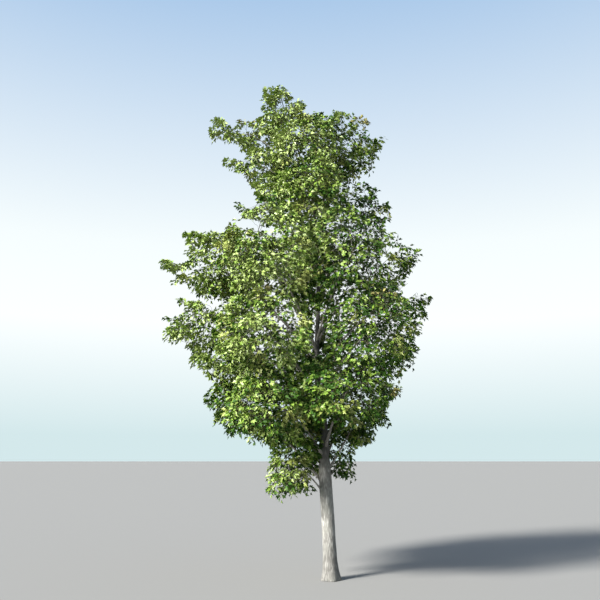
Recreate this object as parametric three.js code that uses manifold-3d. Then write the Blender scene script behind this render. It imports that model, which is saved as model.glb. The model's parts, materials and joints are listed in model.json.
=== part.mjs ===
// An upright maple tree, about 12 m tall, rooted in level ground: one trunk that runs up into a leader,
// tapering boughs that climb away from it, and the masses of foliage that the boughs carry.
// Millimetres, +Z up. The origin is the middle of the flat cut under the trunk, at ground level.
// +X is the viewer's right, +Y leads away from the viewer, and azimuths turn from +X towards +Y.
import * as THREE from "three";
import { mergeVertices } from "three/addons/utils/BufferGeometryUtils.js";
import Module from "manifold-3d";

const wasm = await Module();
wasm.setup();

// Driving dimensions of the trunk
const TREE_HEIGHT = 12000;
const LEADER_HEIGHT = 11720; // the leader ends inside the topmost foliage
const TRUNK_RADIUS = 150; // at breast height
const LEADER_TIP_RADIUS = 9;
const FLARE_SPREAD = 0.5; // how much wider the foot is than the trunk, as a share
const FLARE_HEIGHT = 190;
const ROOT_COUNT = 5; // buttresses round the foot
const ROOT_DEPTH = 0.12; // of each buttress, as a share of the radius
const ROOT_PHASE = 0.6; // radians by which the buttresses are turned
const TRUNK_SIDES = 12;
const TRUNK_RINGS = 24;
const RING_CROWDING = 1.5; // above 1, rings crowd towards the foot, where the trunk changes fastest
const HALVINGS = 20; // steps that find a height on the trunk's curve

// Where the middle of the trunk has drifted to, as [height, sideways, away]
const TRUNK_DRIFT = [
  [0, 0, 0],
  [1200, -50, 0],
  [2200, -110, 10],
  [3500, -150, 20],
  [4300, -300, 40],
  [4850, -230, 40],
  [5300, -295, 30],
  [6100, -235, 10],
  [7300, -275, -20],
  [8900, -360, 0],
  [9600, -540, 20],
  [10600, -830, 30],
  [LEADER_HEIGHT, -1180, 20],
];

// The trunk's radius as a share of TRUNK_RADIUS, at shares of the leader's height
const TRUNK_TAPER = [
  [0, 1.02],
  [0.05, 0.98],
  [0.16, 1.0],
  [0.19, 0.95],
  [0.235, 0.76],
  [0.31, 0.64],
  [0.36, 0.5],
  [0.42, 0.38],
  [0.5, 0.31],
  [0.65, 0.25],
  [0.8, 0.19],
  [0.92, 0.11],
  [1, LEADER_TIP_RADIUS / TRUNK_RADIUS],
];

// Boughs and foliage in general
const CLEARANCE = 0.4; // between faces that would touch
const MASS_GAP = 36; // open air between neighbouring masses
const LEAST_SHARE = 0.25; // of the way to its neighbour that a mass always gets
const TRUNK_ROOM = 60; // between a mass and the bark of the trunk beside it
const BOUGH_SIDES = 6;
const BOUGH_RINGS = 5;
const BOUGH_RADIUS_PER_METRE = 42; // at the fork, for a mass of one metre's mean radius
const BOUGH_TRUNK_SHARE = 0.58; // most of the trunk's own radius at the fork that a bough takes
const BOUGH_TAPER = 0.42; // radius at the far end as a share of that at the fork
const BOUGH_LEAN = 0.64; // sideways for each part upwards, where a bough leaves the trunk
const BOUGH_BEND = 0.42; // how far along its span a bough turns outwards
const SEED_STEP = 97; // between one mass's random stream and the next
const LUMP_COUNT = 13; // swellings on each mass
const LUMP_HEIGHT = 0.24; // as a share of the mass's radius
const LUMP_WIDTH = 0.42; // radians
const MASS_DETAIL = 2; // times that each face of the starting icosahedron is divided
const LOOSE_SPRIGS = 4; // tips on a mass whose own tips don't show in the outline
const LOOSE_SPRIG_REACH = 1.16; // as a share of the mass's radius
const SPRIG_WIDTH = 0.42; // radians over which a mass draws out to a sprig's tip

// Each row is one mass with the bough that carries it.
// fork: height at which the bough leaves the trunk, left out where the mass sits on the leader itself.
// turn, reach, height: azimuth in degrees, distance from the trunk's middle, and height of its centre.
// rise: how steeply its length climbs, in degrees. size: half lengths along the bough, across and upwards.
// sprigs: tips that its outline reaches, as [sideways, away, height].
const LIMBS = [
  {
    name: "low_left", fork: 1740, turn: 196, reach: 740, height: 2560, rise: 6,
    size: [560, 640, 680],
  },
  {
    name: "low_right", fork: 2020, turn: 8, reach: 370, height: 2700, rise: 68,
    size: [460, 390, 230],
  },
  {
    name: "skirt_left", fork: 1930, turn: 177, reach: 1750, height: 3860, rise: 10,
    size: [950, 940, 660],
    sprigs: [[-2900, 60, 4060], [-2720, 40, 3560]],
  },
  {
    name: "skirt_front_left", fork: 2560, turn: 230, reach: 1620, height: 3780, rise: 12,
    size: [980, 1040, 760],
  },
  {
    name: "skirt_front", fork: 2750, turn: 290, reach: 1620, height: 4020, rise: 15,
    size: [950, 1060, 760],
  },
  {
    name: "skirt_right", fork: 2240, turn: 357, reach: 1140, height: 3920, rise: 24,
    size: [660, 820, 720],
    sprigs: [[1660, 0, 4200], [1240, 0, 3420], [640, 0, 3120]],
  },
  {
    name: "skirt_back_right", fork: 2500, turn: 58, reach: 1640, height: 4020, rise: 18,
    size: [1000, 1060, 820],
  },
  {
    name: "skirt_back_left", fork: 2320, turn: 124, reach: 1750, height: 3820, rise: 12,
    size: [1080, 1180, 840],
  },
  {
    name: "arm_left", fork: 3600, turn: 179, reach: 2480, height: 5760, rise: 2,
    size: [1180, 980, 620],
    sprigs: [[-3960, 0, 5660], [-3720, 60, 6380], [-3700, 30, 5230]],
  },
  {
    name: "middle_left", fork: 3300, turn: 184, reach: 1980, height: 4790, rise: 4,
    size: [940, 920, 500],
    sprigs: [[-3260, 60, 4700]],
  },
  {
    name: "middle_front_left", fork: 3750, turn: 234, reach: 1960, height: 5280, rise: 20,
    size: [1020, 1080, 900],
  },
  {
    name: "middle_front_right", fork: 3900, turn: 308, reach: 1900, height: 5360, rise: 20,
    size: [980, 1060, 880],
  },
  {
    name: "middle_right", fork: 3450, turn: 359, reach: 1560, height: 5100, rise: 14,
    size: [820, 960, 680],
    sprigs: [[2180, 0, 5500], [2060, 0, 4740]],
  },
  {
    name: "middle_back_right", fork: 3850, turn: 54, reach: 1950, height: 5440, rise: 18,
    size: [1080, 1180, 920],
  },
  {
    name: "middle_back_left", fork: 3680, turn: 122, reach: 2020, height: 5480, rise: 18,
    size: [1120, 1240, 960],
  },
  {
    name: "shoulder_left", fork: 4750, turn: 180, reach: 2420, height: 7220, rise: 5,
    size: [1160, 1060, 800],
    sprigs: [[-3980, 0, 7340], [-3520, 40, 8040], [-3760, 40, 6880], [-2280, 0, 8200]],
  },
  {
    name: "shoulder_front_left", fork: 5000, turn: 234, reach: 1820, height: 7020, rise: 25,
    size: [1040, 1100, 980],
  },
  {
    name: "shoulder_front", fork: 5300, turn: 295, reach: 1640, height: 7060, rise: 28,
    size: [960, 1080, 980],
  },
  {
    name: "shoulder_right", fork: 4600, turn: 358, reach: 1640, height: 6340, rise: 6,
    size: [880, 960, 540],
    sprigs: [[2460, 0, 6370], [2330, 0, 5960]],
  },
  {
    name: "arm_right", fork: 5450, turn: 2, reach: 1720, height: 7300, rise: 24,
    size: [760, 860, 500],
    sprigs: [[2200, 0, 7620], [1760, 0, 7960]],
  },
  {
    name: "shoulder_back_right", fork: 5200, turn: 58, reach: 1780, height: 7200, rise: 28,
    size: [1060, 1120, 1000],
  },
  {
    name: "shoulder_back_left", fork: 4900, turn: 124, reach: 1840, height: 7260, rise: 25,
    size: [1120, 1160, 1020],
  },
  {
    name: "upper_left", fork: 6900, turn: 181, reach: 960, height: 8880, rise: 15,
    size: [760, 900, 760],
    sprigs: [[-2160, 0, 8640], [-1960, 0, 9330]],
  },
  {
    name: "upper_front", turn: 268, reach: 900, height: 8700, rise: 30,
    size: [760, 900, 880],
  },
  {
    name: "upper_right", fork: 6600, turn: 0, reach: 1080, height: 8500, rise: 22,
    size: [840, 920, 720],
    sprigs: [[1640, 0, 8720], [1600, 0, 8360], [1230, 0, 9180]],
  },
  {
    name: "upper_back", turn: 92, reach: 920, height: 8820, rise: 30,
    size: [800, 920, 920],
  },
  {
    name: "high_left_arm", fork: 9350, turn: 181, reach: 1180, height: 10790, rise: 2,
    size: [860, 580, 350],
    sprigs: [[-2990, 0, 10740], [-2860, 0, 11110]],
  },
  {
    name: "high_left", fork: 8500, turn: 180, reach: 1000, height: 9900, rise: 0,
    size: [740, 680, 430],
    sprigs: [[-2680, 0, 9980], [-2180, 0, 9520]],
  },
  {
    name: "high_front", turn: 275, reach: 720, height: 10080, rise: 30,
    size: [660, 800, 780],
  },
  {
    name: "high_right", fork: 8300, turn: 0, reach: 1140, height: 10300, rise: 25,
    size: [900, 880, 840],
    sprigs: [[1470, 0, 10480], [300, 0, 11290], [940, 0, 11090], [1180, 0, 9720]],
  },
  {
    name: "high_back", turn: 90, reach: 760, height: 10180, rise: 30,
    size: [700, 860, 860],
  },
  {
    name: "crown_top", turn: 180, reach: 130, height: 11300, rise: 70,
    size: [560, 560, 540],
    sprigs: [[-1560, 0, TREE_HEIGHT - 40], [-1120, 0, TREE_HEIGHT], [-1720, 0, 11200], [-620, 0, 11540]],
  },
];

// Finishes
const BARK = { color: 0x8a8378, roughness: 0.92, metalness: 0 };
const LEAF_TONES = [0x5d7c2a, 0x6b8a33, 0x4f6d27, 0x77903c];
const LEAF_ROUGHNESS = 0.6;

// The value at x on the broken line through [x, value] rows.
function alongRows(rows, x) {
  const next = rows.findIndex((row) => row[0] >= x);
  if (next < 1) return next === 0 ? rows[0][1] : rows.at(-1)[1];
  const [from, to] = [rows[next - 1], rows[next]];
  return THREE.MathUtils.mapLinear(x, from[0], to[0], from[1], to[1]);
}

const trunkCurves = [1, 2].map(
  (column) =>
    new THREE.CatmullRomCurve3(
      TRUNK_DRIFT.map((row) => new THREE.Vector3(row[column], 0, row[0])),
      false,
      "centripetal",
    ),
);

// One of the trunk's drifts at a height, read off its smooth curve by halving.
function driftAt(curve, height) {
  let [low, high] = [0, 1];
  for (let step = 0; step < HALVINGS; step += 1) {
    const middle = (low + high) / 2;
    if (curve.getPoint(middle).z < height) low = middle;
    else high = middle;
  }
  return curve.getPoint(low).x;
}

const trunkMiddle = (height) =>
  new THREE.Vector3(driftAt(trunkCurves[0], height), driftAt(trunkCurves[1], height), height);

const trunkRadius = (height) => TRUNK_RADIUS * alongRows(TRUNK_TAPER, height / LEADER_HEIGHT);

// The trunk's radius at a height and an angle round it, with the roots' buttresses at its foot.
function barkRadius(height, angle) {
  const foot = Math.exp(-height / FLARE_HEIGHT);
  const buttress = 1 + ROOT_DEPTH * foot * Math.cos(ROOT_COUNT * angle + ROOT_PHASE);
  return trunkRadius(height) * (1 + FLARE_SPREAD * foot) * buttress;
}

// A geometry with only positions, its shared vertices merged.
function bare(geometry) {
  geometry.deleteAttribute("normal");
  geometry.deleteAttribute("uv");
  return mergeVertices(geometry, 1e-4);
}

// A unit cylinder whose every vertex goes to place(share of its length, angle, share of its radius).
function sweep(sides, rings, place) {
  const geometry = bare(new THREE.CylinderGeometry(1, 1, 1, sides, rings));
  const position = geometry.getAttribute("position");
  for (let i = 0; i < position.count; i += 1) {
    const [x, y, z] = [position.getX(i), position.getY(i), position.getZ(i)];
    const point = place(y + 0.5, Math.atan2(-z, x), Math.min(1, Math.hypot(x, z)));
    position.setXYZ(i, point.x, point.y, point.z);
  }
  return geometry;
}

function trunkGeometry(extra = 0) {
  return sweep(TRUNK_SIDES, TRUNK_RINGS, (share, angle, out) => {
    const height = LEADER_HEIGHT * share ** RING_CROWDING;
    const radius = out * (barkRadius(height, angle) + extra);
    const point = trunkMiddle(height);
    return point.add(new THREE.Vector3(radius * Math.cos(angle), radius * Math.sin(angle), 0));
  });
}

function solidOf(geometry) {
  return new wasm.Manifold(
    new wasm.Mesh({
      numProp: 3,
      vertProperties: new Float32Array(geometry.getAttribute("position").array),
      triVerts: new Uint32Array(geometry.index.array),
    }),
  );
}

function geometryOf(solid) {
  const mesh = solid.getMesh();
  const position = new Float32Array(mesh.numVert * 3);
  for (let i = 0; i < mesh.numVert; i += 1)
    position.set(mesh.vertProperties.subarray(i * mesh.numProp, i * mesh.numProp + 3), i * 3);
  const geometry = new THREE.BufferGeometry();
  geometry.setAttribute("position", new THREE.BufferAttribute(position, 3));
  geometry.setIndex(new THREE.BufferAttribute(new Uint32Array(mesh.triVerts), 1));
  geometry.computeVertexNormals();
  return geometry;
}

// The largest separate body of a solid, so that a cut leaves no crumbs.
const mainBody = (solid) =>
  solid.decompose().reduce((best, body) => (body.volume() > best.volume() ? body : best));

// A repeatable stream of numbers from 0 to 1.
function randomStream(seed) {
  let state = seed;
  return () => {
    state = (state * 1664525 + 1013904223) % 4294967296;
    return state / 4294967296;
  };
}

function randomDirection(random) {
  const up = 2 * random() - 1;
  const turn = 2 * Math.PI * random();
  const out = Math.sqrt(1 - up * up);
  return new THREE.Vector3(out * Math.cos(turn), out * Math.sin(turn), up);
}

// A mass's centre, its three directions, its lumps and its sprigs, worked out from its row.
function layOut(limb, index) {
  const turn = THREE.MathUtils.degToRad(limb.turn);
  const rise = THREE.MathUtils.degToRad(limb.rise);
  const outward = new THREE.Vector3(Math.cos(turn), Math.sin(turn), 0);
  const middle = trunkMiddle(Math.min(limb.height, LEADER_HEIGHT));
  const centre = middle.clone().addScaledVector(outward, limb.reach);
  centre.z = limb.height;
  const along = outward.clone().multiplyScalar(Math.cos(rise)).setZ(Math.sin(rise));
  const across = new THREE.Vector3(-outward.y, outward.x, 0);
  const up = new THREE.Vector3().crossVectors(along, across);
  const random = randomStream(SEED_STEP * (index + 1));
  const lumps = Array.from({ length: LUMP_COUNT }, () => randomDirection(random));
  const mass = { ...limb, outward, centre, axes: [along, across, up], lumps, sprigs: [], planes: [] };
  const tips = limb.sprigs?.map((tip) => new THREE.Vector3(...tip).sub(centre));
  const loose = () => {
    const way = randomDirection(random).add(outward).normalize();
    return way.multiplyScalar(LOOSE_SPRIG_REACH * freeReach(mass, way));
  };
  mass.sprigs = tips ?? Array.from({ length: LOOSE_SPRIGS }, loose);
  return mass;
}

// How far a mass reaches from its centre in a direction, before its neighbours flatten it.
function freeReach(mass, direction) {
  const [a, b, c] = mass.axes.map((axis, k) => direction.dot(axis) / mass.size[k]);
  const egg = 1 / Math.sqrt(a * a + b * b + c * c);
  const bell = (angle, width) => Math.exp(-((angle / width) ** 2));
  const lumps = mass.lumps.map((lump) => LUMP_HEIGHT * bell(direction.angleTo(lump), LUMP_WIDTH));
  const swollen = egg * (1 - LUMP_HEIGHT / 2 + Math.max(...lumps));
  const drawn = mass.sprigs.map((tip) => tip.length() * bell(direction.angleTo(tip), SPRIG_WIDTH));
  return Math.max(swollen, ...drawn);
}

// Flat limits between each pair of masses, halfway between where they would reach towards each other.
function partNeighbours(masses) {
  masses.forEach((one, i) =>
    masses.slice(i + 1).forEach((other) => {
      const between = other.centre.clone().sub(one.centre);
      const distance = between.length();
      const way = between.divideScalar(distance);
      const back = way.clone().negate();
      const fair = (freeReach(one, way) + distance - freeReach(other, back)) / 2;
      const limit = THREE.MathUtils.clamp(fair, LEAST_SHARE * distance, (1 - LEAST_SHARE) * distance);
      one.planes.push({ normal: way, offset: limit - MASS_GAP / 2 });
      other.planes.push({ normal: back, offset: distance - limit - MASS_GAP / 2 });
    }),
  );
}

// A flat limit that keeps a mass beside the trunk off the bark.
function clearTrunk(mass) {
  if (mass.reach < mass.size[0] / 2) return; // it sits on the leader itself
  const radius = barkRadius(mass.height - mass.size[2], 0);
  mass.planes.push({ normal: mass.outward.clone().negate(), offset: mass.reach - radius - TRUNK_ROOM });
}

function massGeometry(mass, extra = 0) {
  const geometry = bare(new THREE.IcosahedronGeometry(1, MASS_DETAIL));
  const position = geometry.getAttribute("position");
  const directions = Array.from({ length: position.count }, (_, i) =>
    new THREE.Vector3().fromBufferAttribute(position, i).normalize(),
  );
  // The vertex nearest each sprig turns to point straight at it, so that the tip is reached in full.
  mass.sprigs.forEach((tip) => {
    const aim = tip.clone().normalize();
    const nearest = directions.reduce((best, way) => (way.dot(aim) > best.dot(aim) ? way : best));
    nearest.copy(aim);
  });
  directions.forEach((way, i) => {
    const limits = mass.planes
      .filter(({ normal }) => way.dot(normal) > 1e-3)
      .map(({ normal, offset }) => offset / way.dot(normal));
    const length = Math.min(freeReach(mass, way), ...limits) + extra;
    const point = mass.centre.clone().addScaledVector(way, length);
    position.setXYZ(i, point.x, point.y, point.z);
  });
  return geometry;
}

// The bough leaves the trunk's middle steeply, bends outwards and heads for the middle of its mass.
function boughGeometry(mass, extra = 0) {
  const start = trunkMiddle(mass.fork);
  const end = mass.centre;
  const span = start.distanceTo(end);
  const lift = mass.outward.clone().multiplyScalar(BOUGH_LEAN).setZ(1).normalize();
  const bend = start.clone().addScaledVector(lift, span * BOUGH_BEND);
  const curve = new THREE.QuadraticBezierCurve3(start, bend, end);
  const meanSize = (mass.size[0] + mass.size[1] + mass.size[2]) / 3;
  const fedRadius = (BOUGH_RADIUS_PER_METRE * meanSize) / 1000;
  const forkRadius = Math.min(fedRadius, BOUGH_TRUNK_SHARE * trunkRadius(mass.fork));
  const side = new THREE.Vector3(-mass.outward.y, mass.outward.x, 0);
  return sweep(BOUGH_SIDES, BOUGH_RINGS, (share, angle, out) => {
    const radius = out * (forkRadius * THREE.MathUtils.lerp(1, BOUGH_TAPER, share) + extra);
    const over = new THREE.Vector3().crossVectors(curve.getTangent(share), side);
    return curve
      .getPoint(share)
      .addScaledVector(side, radius * Math.sin(angle))
      .addScaledVector(over, -radius * Math.cos(angle));
  });
}

const masses = LIMBS.map(layOut);
partNeighbours(masses);
masses.forEach(clearTrunk);

const trunk = solidOf(trunkGeometry());
const roomForTrunk = solidOf(trunkGeometry(CLEARANCE));
const carried = masses.filter((mass) => mass.fork);

// Each bough is cut off at the bark, at its own mass, and at the boughs made before it.
const roomForBoughs = [];
for (const mass of carried) {
  const whole = solidOf(boughGeometry(mass)).subtract(roomForTrunk);
  const open = roomForBoughs.reduce((rest, { room }) => rest.subtract(room), whole);
  mass.bough = mainBody(open.subtract(solidOf(massGeometry(mass, CLEARANCE))));
  roomForBoughs.push({ mass, room: solidOf(boughGeometry(mass, CLEARANCE)) });
}

// Each mass is cut round the trunk and round the boughs that pass through it on their way to others.
for (const mass of masses) {
  const foreign = roomForBoughs.filter((bough) => bough.mass !== mass);
  const whole = solidOf(massGeometry(mass)).subtract(roomForTrunk);
  mass.solid = mainBody(foreign.reduce((rest, { room }) => rest.subtract(room), whole));
}

function namedMesh(name, solid, finish) {
  const mesh = new THREE.Mesh(geometryOf(solid), new THREE.MeshStandardMaterial(finish));
  mesh.name = name;
  return mesh;
}

const tree = new THREE.Group();
const wood = new THREE.Group();
const foliage = new THREE.Group();
tree.add(wood, foliage);
wood.add(namedMesh("trunk", trunk, BARK));
carried.forEach((mass) => wood.add(namedMesh(`bough_${mass.name}`, mass.bough, BARK)));
masses.forEach((mass, i) => {
  const finish = { color: LEAF_TONES[i % LEAF_TONES.length], roughness: LEAF_ROUGHNESS, metalness: 0 };
  foliage.add(namedMesh(`leaves_${mass.name}`, mass.solid, finish));
});

export default tree;
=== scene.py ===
"""An upright maple tree in full summer leaf: bark with its relief, boughs, twigs and lobed leaves.

Metres, +Z up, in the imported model's own frame: the origin is the middle of the flat cut under the trunk.
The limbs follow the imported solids, and the branches, shoots and leaves of each mass of foliage grow on from
them by a seeded rule, nearly all inside that mass's solid.
"""

import json
import logging
import math
from collections.abc import Sequence
from dataclasses import dataclass, field
from enum import Enum
from typing import Any

import bpy
import numpy as np
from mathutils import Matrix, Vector
from mathutils.bvhtree import BVHTree


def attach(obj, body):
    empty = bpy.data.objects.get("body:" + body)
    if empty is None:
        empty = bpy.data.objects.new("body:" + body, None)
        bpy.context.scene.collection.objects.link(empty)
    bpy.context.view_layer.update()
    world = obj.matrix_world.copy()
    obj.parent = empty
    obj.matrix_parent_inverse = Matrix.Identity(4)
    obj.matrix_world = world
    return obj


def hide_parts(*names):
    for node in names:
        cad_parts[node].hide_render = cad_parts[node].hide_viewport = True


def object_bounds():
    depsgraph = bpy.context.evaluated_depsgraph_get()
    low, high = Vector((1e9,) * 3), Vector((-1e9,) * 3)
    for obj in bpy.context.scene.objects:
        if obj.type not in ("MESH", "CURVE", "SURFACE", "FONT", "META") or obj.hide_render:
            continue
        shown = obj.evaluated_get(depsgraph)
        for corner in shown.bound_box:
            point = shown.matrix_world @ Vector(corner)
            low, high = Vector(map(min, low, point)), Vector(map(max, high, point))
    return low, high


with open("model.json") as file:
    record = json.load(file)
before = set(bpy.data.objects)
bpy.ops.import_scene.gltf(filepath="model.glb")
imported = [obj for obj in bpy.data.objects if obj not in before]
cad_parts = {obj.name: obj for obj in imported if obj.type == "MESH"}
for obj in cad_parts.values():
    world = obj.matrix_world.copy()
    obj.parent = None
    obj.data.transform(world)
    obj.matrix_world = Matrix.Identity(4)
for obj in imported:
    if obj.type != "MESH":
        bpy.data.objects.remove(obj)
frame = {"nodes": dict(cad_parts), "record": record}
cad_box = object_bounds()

LOG = logging.getLogger("maple")
BODY = "root"
EYE = (-0.683, -15.87, 2.643)  # where the camera stands, as far as the photo tells
UP = np.array([0.0, 0.0, 1.0])
ALONG_X = np.array([1.0, 0.0, 0.0])
LEVEL = np.array([1.0, 1.0, 0.0])
EDGES = ((0, 1), (1, 2), (2, 0))  # the corners that each side of a triangle joins
TIP_STEP = 0.3  # how far the point of a tube stands past its last ring, as a share of the rings' gap
Array = np.ndarray
Colour = tuple[float, float, float]
Pair = tuple[float, float]
Material = bpy.types.Material
Random = np.random.Generator


def unit(vectors: Array) -> Array:
    """Vectors scaled to a length of one, along their last axis."""
    return vectors / np.maximum(np.linalg.norm(vectors, axis=-1, keepdims=True), 1e-9)


def lengths(vectors: Array) -> Array:
    """The vectors' lengths, along their last axis."""
    return np.linalg.norm(vectors, axis=-1)


def square_to(directions: Array, steepest: float) -> Array:
    """Directions square to some, level unless those are steeper than a limit."""
    return unit(np.cross(directions, np.where(np.abs(directions[..., 2:]) < steepest, UP, ALONG_X)))


def dot(a: Array, b: Array) -> Array:
    """Dot products along the last axis, which is kept."""
    return np.sum(a * b, axis=-1, keepdims=True)


def bezier(start: Array, bend: Array, end: Array, shares: Array) -> Array:
    """Points of a curve that leaves start towards bend, for shares of its way from 0 to 1."""
    t = shares[:, None]
    return (1 - t) ** 2 * start + 2 * t * (1 - t) * bend + t**2 * end


def resample(path: Array, values: Array, spacing: float) -> tuple[Array, Array]:
    """Spreads a path's points evenly.

    Args:
        path: Points, one a row.
        values: A number for each point, such as a radius.
        spacing: The distance wanted between points.

    Returns:
        The new points and their values.
    """
    steps = lengths(np.diff(path, axis=0))
    travel = np.concatenate([[0.0], np.cumsum(steps)])
    even = np.linspace(0, travel[-1], max(3, int(travel[-1] / spacing) + 1))
    points = np.stack([np.interp(even, travel, path[:, k]) for k in range(3)], axis=1)
    return points, np.interp(even, travel, values)


def smoothed(rows: Array, rounds: int) -> Array:
    """Averages rows with the rows beside them, with both ends kept.

    Args:
        rows: The rows.
        rounds: How many times they are averaged.

    Returns:
        The averaged rows.
    """
    rows = rows.copy()
    for _ in range(rounds):
        rows[1:-1] = 0.25 * rows[:-2] + 0.5 * rows[1:-1] + 0.25 * rows[2:]
    return rows


def slot_of(node: str) -> str:
    """The record's material slot of a node."""
    return next(row["material_slot"] for row in frame["record"]["subparts"] if row["node"] == node)


def part_way(values: Array, start: float, end: float) -> Array:
    """How far values are on the way from start to end, from 0 to 1."""
    return np.clip((values - start) / (end - start), 0, 1)


@dataclass(frozen=True)
class SmoothNoise:
    """Repeatable noise in space, from -1 to 1, that changes smoothly over about one unit."""

    seed: int
    primes: tuple[int, int, int] = (73856093, 19349663, 83492791)  # large numbers that mix well
    seed_prime: int = 7919
    mixer: int = 1274126177

    def corner(self, cell: Array) -> Array:
        """The value at whole-numbered points, mixed from their coordinates.

        Args:
            cell: The points.

        Returns:
            A number from -1 to 1 for each.
        """
        mixed = cell.astype(np.int64) @ np.array(self.primes) + self.seed * self.seed_prime
        mixed = (mixed ^ (mixed >> 13)) * self.mixer
        return ((mixed ^ (mixed >> 16)) & 0xFFFF) / 32767.5 - 1

    def at(self, points: Array) -> Array:
        """The noise at each point.

        Args:
            points: Rows of coordinates, in units of the noise's grain.

        Returns:
            A number for each point.
        """
        cell = np.floor(points)
        part = points - cell
        part = part * part * (3 - 2 * part)
        total = np.zeros(points.shape[:-1])
        for corner in np.ndindex(2, 2, 2):
            weight = np.prod(np.where(np.array(corner) == 1, part, 1 - part), axis=-1)
            total += weight * self.corner(cell + np.array(corner))
        return total


class Solid:
    """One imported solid: its corners and triangles, and what a plane cuts from it."""

    def __init__(self, node: str) -> None:
        """Reads a solid and welds the corners that its faces share.

        Args:
            node: The solid's node.
        """
        mesh = frame["nodes"][node].data
        mesh.calc_loop_triangles()
        self.node = node
        corners = np.empty(len(mesh.vertices) * 3, np.float32)
        mesh.vertices.foreach_get("co", corners)
        numbers = np.empty(len(mesh.loop_triangles) * 3, np.int32)
        mesh.loop_triangles.foreach_get("vertices", numbers)
        welded, places = np.unique(corners.reshape(-1, 3).round(5), axis=0, return_inverse=True)
        self.corners = welded.astype(float)
        self.triangles = places.ravel()[numbers].reshape(-1, 3)
        self.middle = (self.corners.min(0) + self.corners.max(0)) / 2

    def tree(self) -> BVHTree:
        """A search tree of the solid's faces."""
        return BVHTree.FromPolygons(self.corners.tolist(), self.triangles.tolist())

    def section(self, origin: Array, normal: Array) -> Array:
        """The outline that a plane cuts from the solid.

        Args:
            origin: A point on the plane.
            normal: The plane's normal.

        Returns:
            The outline's points, in order round their middle.
        """
        height = (self.corners - origin) @ normal
        found = []
        for a, b in EDGES:
            one, other = self.triangles[:, a], self.triangles[:, b]
            cut = height[one] * height[other] < 0
            low, high = height[one[cut]], height[other[cut]]
            share = (low / (low - high))[:, None]
            found.append(self.corners[one[cut]] * (1 - share) + self.corners[other[cut]] * share)
        points = np.concatenate(found)
        side = square_to(normal, 0.9)
        over = np.cross(normal, side)
        away = points - points.mean(0)
        return points[np.argsort(np.arctan2(away @ over, away @ side))]

    def girth(self, origin: Array, normal: Array) -> tuple[Array, float]:
        """The middle and the mean radius of a cut across the solid.

        Args:
            origin: A point on the plane of the cut.
            normal: The plane's normal.

        Returns:
            The cut's middle and its radius.
        """
        outline = self.section(origin, normal)
        following = np.roll(outline, -1, axis=0)
        areas = np.cross(outline - origin, following - origin) @ normal / 2
        area = areas.sum()
        middle = origin + ((outline + following - 2 * origin) / 3 * areas[:, None]).sum(0) / area
        return middle, math.sqrt(abs(area) / math.pi)


def ring_grid(paths: Array, radii: Array, sides: int) -> Array:
    """Rings of points square to many paths at once.

    Args:
        paths: Points along each path, as [path, ring, xyz].
        radii: A radius for each of those points, as [path, ring].
        sides: How many points each ring has.

    Returns:
        The rings' points, as [path, ring, side, xyz].
    """
    along = unit(np.gradient(paths, axis=1))
    chord = unit(paths[:, -1] - paths[:, 0])
    side = square_to(chord, 0.8)[:, None, :]
    side = unit(side - dot(side, along) * along)
    over = np.cross(along, side)
    angles = np.linspace(0, 2 * math.pi, sides, endpoint=False)[:, None]
    rim = np.cos(angles) * side[:, :, None, :] + np.sin(angles) * over[:, :, None, :]
    return paths[:, :, None, :] + radii[:, :, None, None] * rim


def skin(grid: Array, closed_foot: bool = False) -> tuple[Array, Array]:
    """Closes rings of points into tubes that end in a point.

    Args:
        grid: The rings' points, as [path, ring, side, xyz].
        closed_foot: Whether the first ring is closed too, with a flat fan.

    Returns:
        The tubes' points, and their triangles as rows of point numbers.
    """
    count, rings, sides, _ = grid.shape
    middles = grid.mean(axis=2)
    tips = middles[:, -1:] + (middles[:, -1:] - middles[:, -2:-1]) * TIP_STEP
    extras = [tips, middles[:, :1]] if closed_foot else [tips]
    points = np.concatenate([grid.reshape(count, rings * sides, 3), *extras], axis=1)
    here = np.arange(sides)
    beside = (here + 1) % sides
    row = (np.arange(rings - 1) * sides)[:, None]
    a, b = row + here, row + beside
    walls = np.stack([a, b, b + sides, a, b + sides, a + sides], axis=-1).reshape(-1, 3)
    last = (rings - 1) * sides
    cap = np.stack([last + here, last + beside, np.full(sides, rings * sides)], axis=-1)
    faces = [walls, cap]
    if closed_foot:
        faces.append(np.stack([beside, here, np.full(sides, rings * sides + 1)], axis=-1))
    one = np.concatenate(faces)
    starts = (np.arange(count) * points.shape[1])[:, None, None]
    return points.reshape(-1, 3), (one[None] + starts).reshape(-1, 3)


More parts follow.
